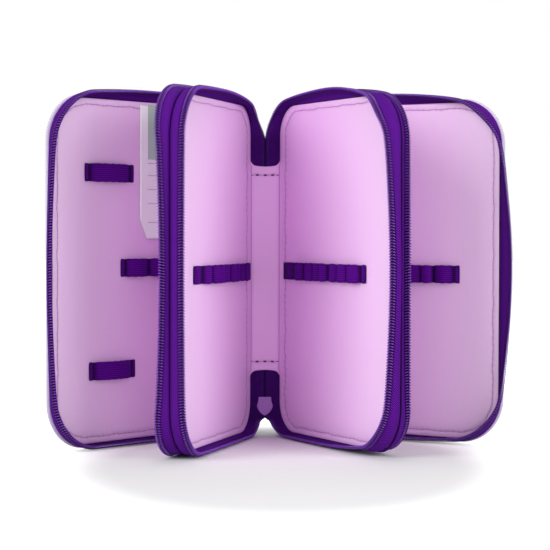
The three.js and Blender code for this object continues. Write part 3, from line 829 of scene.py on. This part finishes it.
def wander(inset, stitches, count):
    """How the hand-fed seam strays from its line, in u and z, fading out beside it."""
    turns = TURN * stitches / count
    stray = 0.17 * np.sin(turns * 23) + 0.13 * np.sin(turns * 41 + 1) + 0.1 * np.sin(turns * 67 + 2)
    inward = (leaf_ring(inset + 0.5) - leaf_ring(inset)) / 0.5
    return inward * (stray * fading(inset - STITCH_INSET, 1.6))[:, None]


def leaf_panel(name, flat, body, profile, crown, groove, material, slot, node):
    """A cloth panel over a whole leaf: rings in from its edge with the sewn groove, then a low crown."""
    line, stitches, count = stitched_line()
    columns = len(line)
    turns = TURN * stitches
    needle = 0.5 + 0.5 * np.cos(turns)
    pucker = np.cos(turns + 1.3) * (0.5 + 0.5 * np.sin(stitches * 0.9) * np.sin(stitches * 0.37))
    rings, heights, seams = [leaf_ring(profile[0][0] + 0.6)], [profile[0][1] - 0.1], [np.zeros(columns)]
    for inset, height in profile:
        off = inset - STITCH_INSET
        pull = fading(off, GROOVE_REACH)
        wrinkle = 0.15 * fading(off, 2.6) * (inset > 0)
        rings.append(leaf_ring(inset) + wander(inset, stitches, count))
        heights.append(height - groove * pull * (0.55 + needle) + wrinkle * pucker)
        # Painted shade in the sewn groove, darkest at the needle holes.
        seams.append(pull * (0.06 + 0.5 * needle**3))
    middle = np.array([LEAF_WIDTH / 2, LEAF_HEIGHT / 2])
    inner, edge_height, even_height = rings[-1], heights[-1], profile[-1][1]
    for share in CROWN_SHARES:
        swell = crown + (even_height - crown) * share**3
        rings.append(middle + (inner - middle) * share)
        heights.append(edge_height * share**2 + swell * (1 - share**2))
        seams.append(np.zeros(columns))
    shape = Shape()
    shape.add(flat.rings(rings, heights), rings, ring_faces(len(rings), columns), seam=seams)
    return shape.make(name, [material], slot, body, nodes=[node])


def seam_stitches(name, flat, body, level):
    """The thread that shows along a leaf's seam: one short dash for each stitch."""
    line, stitches, count = stitched_line()
    along = np.append(stitches, count)
    shape = Shape()
    for k in range(count):
        u, z = along_line(k + np.linspace(*STITCH_SHOWS, len(THREAD_RISE)), along, closed(line)).T
        tube(shape, flat.at(u, level + THREAD_RISE, z), flat.n, THREAD)
    shape.make(name, [SEAM_THREAD], "lining", body)


def leaf_cloths():
    for face in FACES:
        lining = leaf_panel(
            f"{face.name}_sewn_lining", face.flat, face.body, LINING_PROFILE, LINING_CROWN, LINING_GROOVE,
            LINING, "lining", f"{face.name}_lining",
        )
        seam_stitches(f"{face.name}_seam", face.flat, face.body, LINING_THREAD_LEVEL)
        if face.body in COVERS:
            back = face.flat.turned_over()
            outside = leaf_panel(
                f"{face.body}_padded_outside", back, face.body, OUTER_PROFILE, OUTER_CROWN, OUTER_GROOVE,
                OUTER, "outer_fabric", f"{face.body}_outer_fabric",
            )
            seam_stitches(f"{face.body}_outside_seam", back, face.body, OUTER_THREAD_LEVEL)


def edge_whippings():
    """The pale thread that winds round the outer edge of each cover, from strip end to strip end."""
    line = leaf_ring(-WHIP_OUT)
    u, z = line.T
    at_strip = (u < 1) & (z > STRIP_BOTTOM - WHIP_GAP) & (z < STRIP_TOP + WHIP_GAP)
    after = np.flatnonzero(at_strip)[-1] + 1
    line = np.roll(line, -after, axis=0)[~np.roll(at_strip, -after)]
    along = lengths(line)
    turns = round(along[-1] / WHIP_PITCH)
    turn = np.arange(turns * WHIP_STEPS + 1) / WHIP_STEPS
    u, z = along_line(turn / turns * along[-1], along, line).T
    out_u, out_z = unit(np.column_stack([np.gradient(z), -np.gradient(u)])).T
    reach = WHIP_REACH * np.cos(TURN * turn)
    level = WHIP_LEVEL + WHIP_DEPTH * np.sin(TURN * turn)
    for body in COVERS:
        flat = FLATS[body].turned_over()
        shape = Shape()
        path = flat.at(u + out_u * reach, level, z + out_z * reach)
        tube(shape, path, flat.at(u + out_u, 0, z + out_z) - flat.at(u, 0, z), THREAD, sides=4)
        shape.make(f"{body}_edge_whipping", [WHIP_THREAD], "outer_fabric", body)


def edge_bindings():
    """The dark turned seam round each leaf, between the roots of its zip tapes."""
    for body in LEAVES:
        low = COVER_BINDING if body in COVERS else DIVIDER_BINDING
        section = [(-0.2, -0.45), (0.25, -0.7), (0.35, (low - 0.45) / 2), (0.25, low + 0.25), (-0.2, low)]
        rings = [leaf_ring(-out) for out, level in section]
        around = lengths(closed(rings[0]))[:-1]
        cloth = cloth_places(around, 2.0 * np.arange(len(section))[:, None])
        faces = grid_faces(len(section), len(around), close_rows=True, close_columns=True)
        shape = Shape()
        shape.add(FLATS[body].rings(rings, [level for out, level in section]), cloth, faces)
        shape.make(f"{body}_edge_binding", [BINDING], "zip_tape", body)


# Zip tapes and coils


def zip_stations():
    """Stations of a zip half, from the top of its spine strip round the leaf to the strip's bottom.

    Each row is u, z, the direction out of the leaf, and its place among the walls. With them come each
    station's share of the leaf, and whether it is in the first half.
    """
    rows = []

    def straight(start, end, out, *places, step=2.0):
        steps = max(2, round(math.dist(start, end) / step))
        begin, finish = (*start, *out, places[0]), (*end, *out, places[1])
        rows.append(np.linspace(begin, finish, steps, endpoint=False))

    def corner(u, z, radius, begin, turn, place_from, place_to, steps):
        degrees, places = np.linspace((0, place_from), (turn, place_to), steps, endpoint=False).T
        points, out = on_corner((u, z, radius, begin), degrees), on_corner((0, 0, 1, begin), degrees)
        rows.append(np.column_stack([points, out, places]))

    back, free = SPINE_RADIUS, FREE_RADIUS
    side, top = LEAF_WIDTH - free, LEAF_HEIGHT - free
    near, far = CORNER_SHARE, 2 - CORNER_SHARE
    straight((0, STRIP_TOP - TAPE_TUCK), (0, LEAF_HEIGHT - back), (-1, 0), 0, 0)
    corner(back, LEAF_HEIGHT - back, back, 180, -90, 0, 1 + near, 18)
    straight((back, LEAF_HEIGHT), (side, LEAF_HEIGHT), (0, 1), 1 + near, 1 + far)
    corner(side, top, free, 90, -90, 1 + far, 3 + near, 24)
    straight((LEAF_WIDTH, top), (LEAF_WIDTH, free), (1, 0), 3 + near, 3 + far)
    corner(side, free, free, 0, -90, 3 + far, 5 + near, 24)
    straight((side, 0), (back, 0), (0, -1), 5 + near, 5 + far)
    corner(back, back, back, -90, -45, 5 + far, LAST_PLACE, 9)
    corner(back, back, back, -135, -45, LAST_PLACE, LAST_PLACE, 12)
    straight((0, back), (0, STRIP_BOTTOM + TAPE_TUCK), (-1, 0), LAST_PLACE, LAST_PLACE, step=1.5)
    rows = np.concatenate(rows)
    u, z = rows[:, 0], rows[:, 1]
    first_half = np.arange(len(rows)) < len(rows) // 2
    at_spine = np.where(first_half, passing(z, *LEAVES_TOP), passing(z, *LEAVES_BOTTOM))
    return rows, np.where(u < SPINE_REACH, at_spine, 1.0), first_half


def walls_at(name, rows):
    """The lean and height of the rim in millimetres, and the wall's two leans in degrees, at each station.

    They pass from place to place, evened out along the edge, because a zip's coil takes no sharp bends.
    """
    table = np.array([*ZIP_WALLS[name], FOOT_WALL, THROAT_WALL], float)
    table[:, :2] *= RIM_HEIGHT
    place = rows[:, 4]
    start = np.minimum(np.floor(place).astype(int), LAST_PLACE - 1)
    eased = passing(place, start, start + 1)[:, None]
    walls = table[start] * (1 - eased) + table[start + 1] * eased
    along = lengths(rows[:, :2])
    weight = fading(along[:, None] - along, RIM_EASE) * np.gradient(along)
    return weight @ walls / weight.sum(axis=1, keepdims=True)


def leaning(degrees):
    """Directions that lean that far out of the leaf, as lean and height."""
    angle = np.radians(degrees)
    return np.column_stack([np.sin(angle), np.cos(angle)])


class ZipHalf:
    """The tape and coil of one face, worked out in lean and height at each station."""

    def __init__(self, face):
        self.face = face
        self.rows, self.share, first_half = zip_stations()
        u, z = self.rows[:, 0], self.rows[:, 1]
        # On the strip the halves lie flat and their coils reach past the middle, except inside the slider.
        parted = np.where(first_half, 0.0, passing(z, *PARTS)) * (u < SPINE_REACH)
        meet = STRIP_WIDTH / 2 + MESH_DEPTH
        split = THROAT_WALL[1] * RIM_HEIGHT
        strip_rim = np.column_stack([np.zeros(len(z)), meet + (split - meet) * parted])
        walls = walls_at(face.name, self.rows)
        root = np.array([ROOT_OUT, -face.root])
        self.leaf = self.section(root, walls[:, :2], walls[:, 2], walls[:, 3], TAPE_UNDER_COIL)
        self.on_strip = self.section(np.array([0, STRIP_ROOT]), strip_rim, 0, 0, MESH_DEPTH - CHAIN_OVERLAP)

    def section(self, root, rim, begin, end, short):
        """The tape's outline, which stops short of the rim, and the coil's middle and axes, by station."""
        outward, inward = leaning(begin), leaning(end)
        turn = rim - CHAIN_BAND * inward
        reach = np.linalg.norm(turn - root, axis=1, keepdims=True) * TAPE_PULL
        t = np.linspace(0, 1, TAPE_STEPS)[:, None, None]
        line = (1 - t) ** 3 * root + 3 * (1 - t) ** 2 * t * (root + reach * outward)
        line = line + 3 * (1 - t) * t**2 * (turn - reach * inward) + t**3 * turn
        line = np.concatenate([line, [turn + share * (CHAIN_BAND - short) * inward for share in (0.5, 1)]])
        slope = unit(np.gradient(line, axis=0))
        side = np.stack([slope[..., 1], -slope[..., 0]], axis=-1) * TAPE_THICKNESS / 2
        across = np.column_stack([inward[:, 1], -inward[:, 0]])
        middle = rim - COIL_REACH * inward + COIL_SIDE * across
        ring = np.concatenate([line + side, (line - side)[::-1]])
        return {"ring": ring, "middle": middle, "along": middle + inward, "across": middle + across}

    def world(self, key):
        """Places of a section's points, passing from the strip's version to the leaf's."""
        u, z, out_u, out_z = self.rows.T[:4]
        lean, height = np.moveaxis(self.leaf[key], -1, 0)
        on_leaf = self.face.flat.at(u + out_u * lean, height, z + out_z * lean)
        lean, height = np.moveaxis(self.on_strip[key], -1, 0)
        on_strip = self.face.on_strip(height, TAPE_LEVEL - lean, z)
        strip_share = 1 - self.share
        if key == "ring":
            rooted = passing(np.linspace(0, 1, len(lean) // 2), 0, ROOT_SHARE)
            strip_share = strip_share * mirrored(rooted)[:, None]
        return on_leaf + (on_strip - on_leaf) * strip_share[..., None]

    def parts(self):
        """The stations on the strip's top, the leaf and the strip's bottom, with what carries them."""
        first, last = np.flatnonzero(self.share >= 1)[[0, -1]]
        ring = self.world("ring")
        top = self.carrier(ring[:, first], *BLEND_TOP)
        bottom = self.carrier(ring[:, last], *BLEND_BOTTOM)
        end = len(self.rows) - 1
        return [("top", 0, first, top), ("round", first, last, None), ("bottom", last, end, bottom)]

    def carrier(self, ring, from_height, to_height):
        """The bodies that carry an end of the zip, and the line along which it passes between them."""
        middle = self.face.on_strip(STRIP_WIDTH / 2, TAPE_LEVEL, from_height)
        toward = unit(self.face.flat.at(BLEND_OUT, 0, to_height) - middle)
        reach = ((ring - middle) @ toward).min()
        start, end = middle + toward * (reach - BLEND_LENGTH), middle + toward * reach
        return self.face.strip, self.face.body, start * MM, end * MM

    def finish(self, shape, name, materials, what, part, blend):
        """Makes a part of the tape or the teeth, which stands for the frame's own."""
        place = self.face.name if part == "round" else f"{self.face.strip}_{part}"
        name = f"{self.face.name}_{name}_{part}"
        shape.make(name, materials, f"zip_{what}", self.face.body, blend, [f"{place}_zip_{what}"])

    def tape(self):
        ring = np.swapaxes(self.world("ring"), 0, 1)
        around = ring.shape[1]
        half = around // 2
        along = lengths(ring[:, 5])
        across = mirrored(np.linspace(0, TAPE_SPREAD, half))
        # Painted shade round the tape's section: full under the coil, light on the inner side, strong at that
        # side's rim, and more where the tape lies on its strip.
        painted_ring_shade = np.zeros(around)
        painted_ring_shade[half - 3:half] = 1.0
        painted_ring_shade[half:] = INNER_SHADE
        painted_ring_shade[half] = INNER_RIM_SHADE
        for part, first, last, blend in self.parts():
            rows = slice(first, last + 1)
            seam = np.maximum(painted_ring_shade, STRIP_SHADE * (1 - self.share[rows, None]))
            shape = Shape()
            faces = ring_faces(last + 1 - first, around)
            shape.add(ring[rows], cloth_places(along[rows, None], across), faces, seam=seam)
            self.finish(shape, "tape", [TAPE], "tape", part, blend)

    def coil(self):
        middle = self.world("middle")
        along = unit(self.world("along") - middle)
        across = unit(self.world("across") - middle)
        length = lengths(middle)
        for part, first, last, blend in self.parts():
            begin, end = round(length[first] / COIL_PITCH), round(length[last] / COIL_PITCH)
            places = np.arange(begin * COIL_STEPS, end * COIL_STEPS + 1) * COIL_PITCH / COIL_STEPS
            places = places[(places > COIL_STARTS) & (places < length[-1] - COIL_STARTS)]
            turn = TURN * (places / COIL_PITCH + (0.5 if self.face.far else 0.0))
            cos, sin = np.cos(turn), np.sin(turn)
            # The wire goes on mostly at the back of the coil, so that its heads stand apart like teeth.
            spots = places - COIL_HEAD_SHARE * COIL_PITCH / (TURN) * sin
            m, a, c = (along_line(spots, length, line) for line in (middle, along, across))
            wide, deep = ((np.sign(v) * np.abs(v) ** COIL_SQUARENESS)[:, None] for v in (cos, sin))
            shape = Shape()
            path = m + a * COIL_HALF_WIDTH * wide + c * COIL_HALF_DEPTH * deep
            tube(shape, path, a * wide + c * deep, COIL_WIRE)
            bare = (places > TAPE_TUCK) & (places < length[-1] - TAPE_TUCK)
            dip = (COIL_HALF_DEPTH + CORD_OUT + CORD_DIP * np.cos(2 * turn))[:, None]
            for side in (-1, 1):
                cord = m - a * CORD_BACK + c * side * dip
                tube(shape, cord[bare][::2], c[bare][::2], THREAD, sides=4, kind=1)
            self.finish(shape, "coil", [COIL, COIL_THREAD], "teeth", part, blend)


def zips():
    for face in FACES:
        half = ZipHalf(face)
        half.tape()
        half.coil()


# Spine strips and folds


def cut_curve(reach):
    """How far a strip's rounded cut end draws back at that reach into its curve."""
    return STRIP_CUT - np.sqrt(np.maximum(STRIP_CUT**2 - reach**2, 0))


def strip_ends(x):
    """Where a strip's cloth ends at the bottom and the top, at places across it."""
    curve = cut_curve(np.maximum(STRIP_CUT - np.minimum(x, STRIP_WIDTH - x), 0))
    sag = STRIP_SAG * (2 * x / STRIP_WIDTH - 1) ** 2
    return STRIP_BOTTOM - curve - sag, STRIP_TOP + curve + sag


def strip_panel(name, body, front, margin, material, slot, node):
    """A strip's lining or outer cloth, with rolled ends and a short seam near each."""
    sides = margin + np.array([0, 0.25, 0.8])
    inner = np.linspace(sides[2], STRIP_WIDTH - sides[2], STRIP_COLUMNS)[1:-1]
    x = np.concatenate([sides, inner, STRIP_WIDTH - sides[::-1]])
    low, high = strip_ends(x)
    inset, roll = np.array(STRIP_PROFILE).T[..., None]
    z = np.concatenate([low + inset, high - inset[::-1]])
    pull = mirrored(fading(inset - STRIP_SEAM, GROOVE_REACH))
    needle = 0.5 + 0.5 * np.cos(TURN * (x - STRIP_WIDTH / 2) / STRIP_NEEDLE)
    outward = 1 if front > STRIP_BACK / 2 else -1
    level = front + outward * (mirrored(roll) - STRIP_GROOVE * pull * needle)
    flat = FLATS[body]
    shape = Shape()
    behind = flat.at(x, front - outward * STRIP_THICKNESS, z)
    # Painted shade in the seam's groove, darkest at the needle holes.
    shape.add_sheet(flat.at(x, level, z), behind, cloth_places(x, z), pull * (0.2 + 0.7 * needle**3))
    return shape.make(name, [material], slot, body, nodes=[node])


def strip_seams(body):
    """The seam across each end of a strip: knots where the needle went in, painted dark for the shade in the
    needle holes, and paler thread between.
    """
    flat = FLATS[body]
    shape = Shape()
    for height in (STRIP_TOP - STRIP_SEAM, STRIP_BOTTOM + STRIP_SEAM):
        for x in STRIP_KNOTS:
            places = np.clip(x + np.linspace(-0.8, 0.8, len(KNOT_RISE)), 0.5, STRIP_WIDTH - 0.5)
            tube(shape, flat.at(places, KNOT_RISE, height), flat.n, KNOT, kind=1)
        for begin, end in zip(STRIP_KNOTS, STRIP_KNOTS[1:]):
            places = np.linspace(begin + 1.0, end - 1.0, len(CROSS_RISE))
            tube(shape, flat.at(places, CROSS_RISE, height), flat.n, CROSS_THREAD)
    shape.make(f"{body}_cross_seams", [SEAM_THREAD, KNOT_SHADE_THREAD], "lining", body)


def strip_cloths():
    for body in STRIPS:
        front = strip_panel(
            f"{body}_sewn_lining", body, 0, STRIP_LINING_MARGIN, LINING, "lining", f"{body}_lining",
        )
        back = strip_panel(
            f"{body}_outer_cloth", body, STRIP_BACK, STRIP_OUTER_MARGIN, OUTER, "outer_fabric",
            f"{body}_outer_fabric",
        )
        strip_seams(body)


def fold_heights():
    """Heights along a fold, closer together at the strip's cut ends."""
    ends = STRIP_CUT * (1 - np.cos(np.linspace(0, math.pi / 2, 10)))
    middle = np.linspace(STRIP_BOTTOM, STRIP_TOP, 40)[1:-1]
    return np.concatenate([STRIP_BOTTOM - STRIP_CUT + ends, middle, STRIP_TOP + STRIP_CUT - ends[::-1]])


def horn(z, most):
    """How far on to a strip its fold's cloth reaches at each height, between the strip's cut ends."""
    past = np.maximum(np.maximum(STRIP_BOTTOM - z, z - STRIP_TOP), 0)
    return np.minimum(most, cut_curve(STRIP_CUT - past) + 0.12)


def bend_cloth(name, z, a, fold, b, face, material, slot):
    """Cloth round a fold, through a line on the strip, bending at the fold, to a line on the leaf."""
    t = np.linspace(0, 1, FOLD_STEPS)[:, None, None]
    front = (1 - t) ** 2 * a + 2 * (1 - t) * t * fold + t**2 * b
    normal = np.cross(unit(np.gradient(front, axis=0)), UP)
    steps, crease = np.arange(FOLD_STEPS), FOLD_STEPS // 2
    if ((fold - (a + b) / 2) * normal[crease]).sum() < 0:
        normal = -normal
    ring = np.swapaxes(np.concatenate([front, (front + normal * FOLD_THICKNESS)[::-1]]), 0, 1)
    shade = np.broadcast_to(CREASE_SHADE * mirrored(fading(steps - crease, 0.7)), ring.shape[:2])
    shape = Shape()
    shape.add(ring, cloth_places(mirrored(steps * 0.6), z[:, None]), ring_faces(*ring.shape[:2]), seam=shade)
    shape.make(name, [material], slot, blend=(face.strip, face.body, a[0] * MM, b[0] * MM))


def fold_cloths():
    """Lining and outer cloth over each of the six folds."""
    z = fold_heights()
    for face in FACES:
        strip, leaf = face.on_strip, face.flat.at
        lines = strip(horn(z, 1.9), 0.1, z), strip(0.1, 0.1, z), leaf(1.9, 0.18, z)
        bend_cloth(f"{face.name}_fold_lining", z, *lines, face, LINING, "lining")
        if face.body in COVERS:
            start, end = strip(horn(z, 2.4), STRIP_BACK - 0.15, z), leaf(2.2, -LEAF_THICKNESS - 0.75, z)
            fold = strip(-1.2, STRIP_BACK - 0.3, z) - 0.9 * face.flat.n
        else:
            start, end = strip(horn(z, 1.2), STRIP_BACK - 0.1, z), leaf(-0.9, -LEAF_THICKNESS / 2, z)
            fold = strip(-0.2, STRIP_BACK + 0.1, z)
        bend_cloth(f"{face.name}_fold_outside", z, start, fold, end, face, OUTER, "outer_fabric")


# Elastics and label


def elastic_line(start, end, height, seams):
    """An elastic's line in u and height over the lining, and how far it is pressed flat at each point."""
    base, slack = ELASTIC_BASE, ELASTIC_BASE + SLACK
    rows = [[(start, base, 0.5), ((start + seams[0]) / 2, slack, 0.0)]]
    shares = np.arange(LOOP_STEPS) / LOOP_STEPS
    for k, (a, b) in enumerate(zip(seams, seams[1:])):
        swell = 0.82 + 0.18 * math.sin(2.4 * k + height * 40)
        rise = LOOP_RISE * swell * min(1, (b - a) / 9 + 0.35)
        lean = 0.06 * math.sin(1.7 * k + 1) * np.sin(TURN * shares)
        u = a + (b - a) * (shares + lean)
        pressed = fading(np.minimum(shares, 1 - shares) * (b - a), 1)
        rows.append(np.column_stack([u, base + rise * np.sin(math.pi * shares) ** 0.6, pressed]))
    rows.append([(seams[-1], base, 1.0), ((end + seams[-1]) / 2, slack, 0.0), (end, base, 0.5)])
    return np.concatenate(rows)


def elastic(name, face):
    """One elastic, sewn down flat at its seams and standing in a loop between each two."""
    start, end, height, seams = LOOP_SHARES[name]
    start, end, middle = start * LEAF_WIDTH, end * LEAF_WIDTH, height * LEAF_HEIGHT
    seams = [start + (end - start) * share for share in seams]
    rows = elastic_line(start, end, height, seams)
    line = rows[:, :2]
    u, h, pressed = rows.T[..., None]
    slope = unit(np.gradient(line, axis=0))
    upper = np.linspace(-0.5, 0.5, 4 * ELASTIC_RIBS + 1)
    under = np.linspace(0.5, -0.5, 7)[1:-1]
    thick = ELASTIC_THICKNESS / 2 * (1 - 0.35 * pressed)
    rounded = np.sqrt(np.clip(1 - (2 * np.abs(upper)) ** 14, 0, 1))
    ribs = 0.1 * np.abs(np.cos(math.pi * ELASTIC_RIBS * upper)) * (1 - 0.5 * pressed)
    off = np.hstack([thick * rounded + ribs, np.tile(-thick, len(under))])
    waist = 1 - 0.075 * pressed + 0.02 * np.sin(u * 1.3 + height * 9)
    across = ELASTIC_WIDTH * np.concatenate([upper, under])
    points = face.flat.at(u - slope[:, 1:] * off, h + slope[:, :1] * off, middle + across * waist)
    cloth = cloth_places(lengths(line)[:, None], across)
    shape = Shape()
    # Painted shade in the pressed valleys at the seams.
    shape.add(points, cloth, ring_faces(*off.shape), seam=np.broadcast_to(0.95 * pressed, off.shape))
    for place in seams:
        for k in range(TACKS):
            shares = (np.linspace(0.08, 0.92, len(TACK_RISE)) + k) / TACKS
            z = middle + ELASTIC_WIDTH * (shares - 0.5)
            tube(shape, face.flat.at(place, ELASTIC_BASE + TACK_RISE, z), face.flat.n, THREAD, kind=1)
    shape.make(f"{name}_ribbed", [ELASTIC, COIL_THREAD], "elastic", face.body, nodes=[name])


def elastics():
    for name in LOOP_SHARES:
        elastic(name, next(face for face in FACES if name.startswith(face.name)))


def care_label():
    """The satin label, sewn in at the cover's top edge and hanging over its lining."""
    flat = FACES[0].flat
    left = LOOP_SHARES["left_cover_top_loop"][0] * LEAF_WIDTH - LABEL_LOOP_GAP - LABEL_WIDTH
    rows, columns = LABEL_GRID
    across = np.linspace(0, LABEL_WIDTH, columns)
    cut_width, cut_height = LABEL_CUT
    low = np.clip((across - (LABEL_WIDTH - cut_width)) / cut_width, 0, 1) * cut_height
    up = low + (LABEL_LENGTH - low) * np.linspace(0, 1, rows)[:, None]
    hang = 1 - up / LABEL_LENGTH
    lift = 0.62 + 0.5 * hang**1.5 + 0.28 * hang * np.sin(across / LABEL_WIDTH * 5 + up / 17)
    u = left + across + 0.5 * np.sin(up / 24) * hang
    z = LEAF_HEIGHT - COVER_OVERHANG - LABEL_LENGTH + up
    front, back = (flat.at(u, lift + side * LABEL_THICKNESS / 2, z) for side in (1, -1))
    shape = Shape()
    shape.add_sheet(front, back, cloth_places(across, up), 0 * up)
    label = shape.make("left_cover_satin_label", [LABEL], "label", "left_cover", nodes=["left_cover_label"])


# Frame nodes that stay


def kept_nodes():
    """Gives the sliders and pulls their enamel and soft edges, and the boards their card."""
    for name, node in frame["nodes"].items():
        if name.endswith(("_zip_slider", "_zip_pull")):
            node.data.materials.clear()
            node.data.materials.append(ENAMEL)
            bevel = node.modifiers.new("soft_edges", "BEVEL")
            bevel.width = BEVEL * MM
            bevel.segments = 2
            bevel.limit_method = "ANGLE"
        elif name.endswith("_board"):
            node.data.materials.clear()
            node.data.materials.append(CARD)


# Studio


def studio():
    """Soft light from all round, under a world that is plain white to look at, and the lamps."""
    n = Nodes("studio", bpy.data.worlds)
    bpy.context.scene.world = n.owner
    glow = n.tree.nodes["Background"]
    glow.inputs["Color"].default_value = (1.0, 0.99, 1.0, 1)
    glow.inputs["Strength"].default_value = WORLD_LIGHT
    white = n.add("Background", Color=(1, 1, 1, 1), Strength=1.0)
    rays = n.add("LightPath").outputs
    seen = n.math("MAXIMUM", rays["Is Camera Ray"], rays["Is Transmission Ray"])
    mix = n.add("MixShader")
    n.fill(mix.inputs, (seen, glow.outputs[0], white.outputs[0]))
    n.link(mix.outputs[0], n.tree.nodes["World Output"].inputs[0])
    for name, place, size, watts in LAMPS:
        data = bpy.data.lights.new(name, "AREA")
        data.shape = "DISK"
        data.size = size
        data.energy = watts
        lamp = in_scene(name, data)
        lamp.location = place
        lamp.rotation_euler = (Vector(AIM) - Vector(place)).to_track_quat("-Z", "Y").to_euler()


def floor():
    """A wide white floor that keeps the case's shadow and is plain white elsewhere."""
    n = Nodes("studio_floor")
    place = n.place()
    n.color(n.mix(n.noise(place, 3.0), (0.79, 0.8, 0.79), (0.81, 0.82, 0.81)))
    shares = n.vector("DIVIDE", n.vector("SUBTRACT", place, SHADOW_MIDDLE)[0], SHADOW_REACH)[0]
    begin, end = FLOOR_GLOW
    spread = n.add("MapRange", interpolation_type="SMOOTHSTEP", From_Min=begin, From_Max=end)
    n.link(n.vector("LENGTH", shares)["Value"], spread.inputs["Value"])
    seen = n.add("LightPath").outputs["Is Camera Ray"]
    n.link(n.times(seen, spread.outputs["Result"]), n.shader.inputs["Emission Strength"])
    n.set(Roughness=0.9, Specular_IOR_Level=0.1, Emission_Color=(1, 1, 1, 1))
    work = bmesh.new()
    bmesh.ops.create_grid(work, x_segments=8, y_segments=8, size=FLOOR_SIZE)
    mesh = bpy.data.meshes.new("floor")
    work.to_mesh(mesh)
    work.free()
    mesh.materials.append(n.owner)
    made = in_scene("floor", mesh)
    made.location.z = FLOOR_LEVEL


def camera():
    """The camera of the photograph."""
    data = bpy.data.cameras.new("camera")
    data.sensor_width = SENSOR
    data.lens = FOCAL_PIXELS / IMAGE_PIXELS * SENSOR
    data.clip_start = NEAREST
    data.clip_end = FARTHEST
    made = in_scene("camera", data)
    made.location = Vector(CAMERA_PLACE) * MM
    turn = Matrix.Rotation(math.radians(-CAMERA_YAW), 3, "Z")
    tilt = Matrix.Rotation(math.radians(90 - CAMERA_DOWN), 3, "X")
    roll = Matrix.Rotation(math.radians(CAMERA_ROLL), 3, "Z")
    made.rotation_euler = (turn @ tilt @ roll).to_euler()
    bpy.context.scene.camera = made


camera()
studio()
floor()
leaf_cloths()
edge_whippings()
edge_bindings()
strip_cloths()
fold_cloths()
zips()
elastics()
care_label()
kept_nodes()

bpy.context.scene.view_settings.view_transform = "Standard"
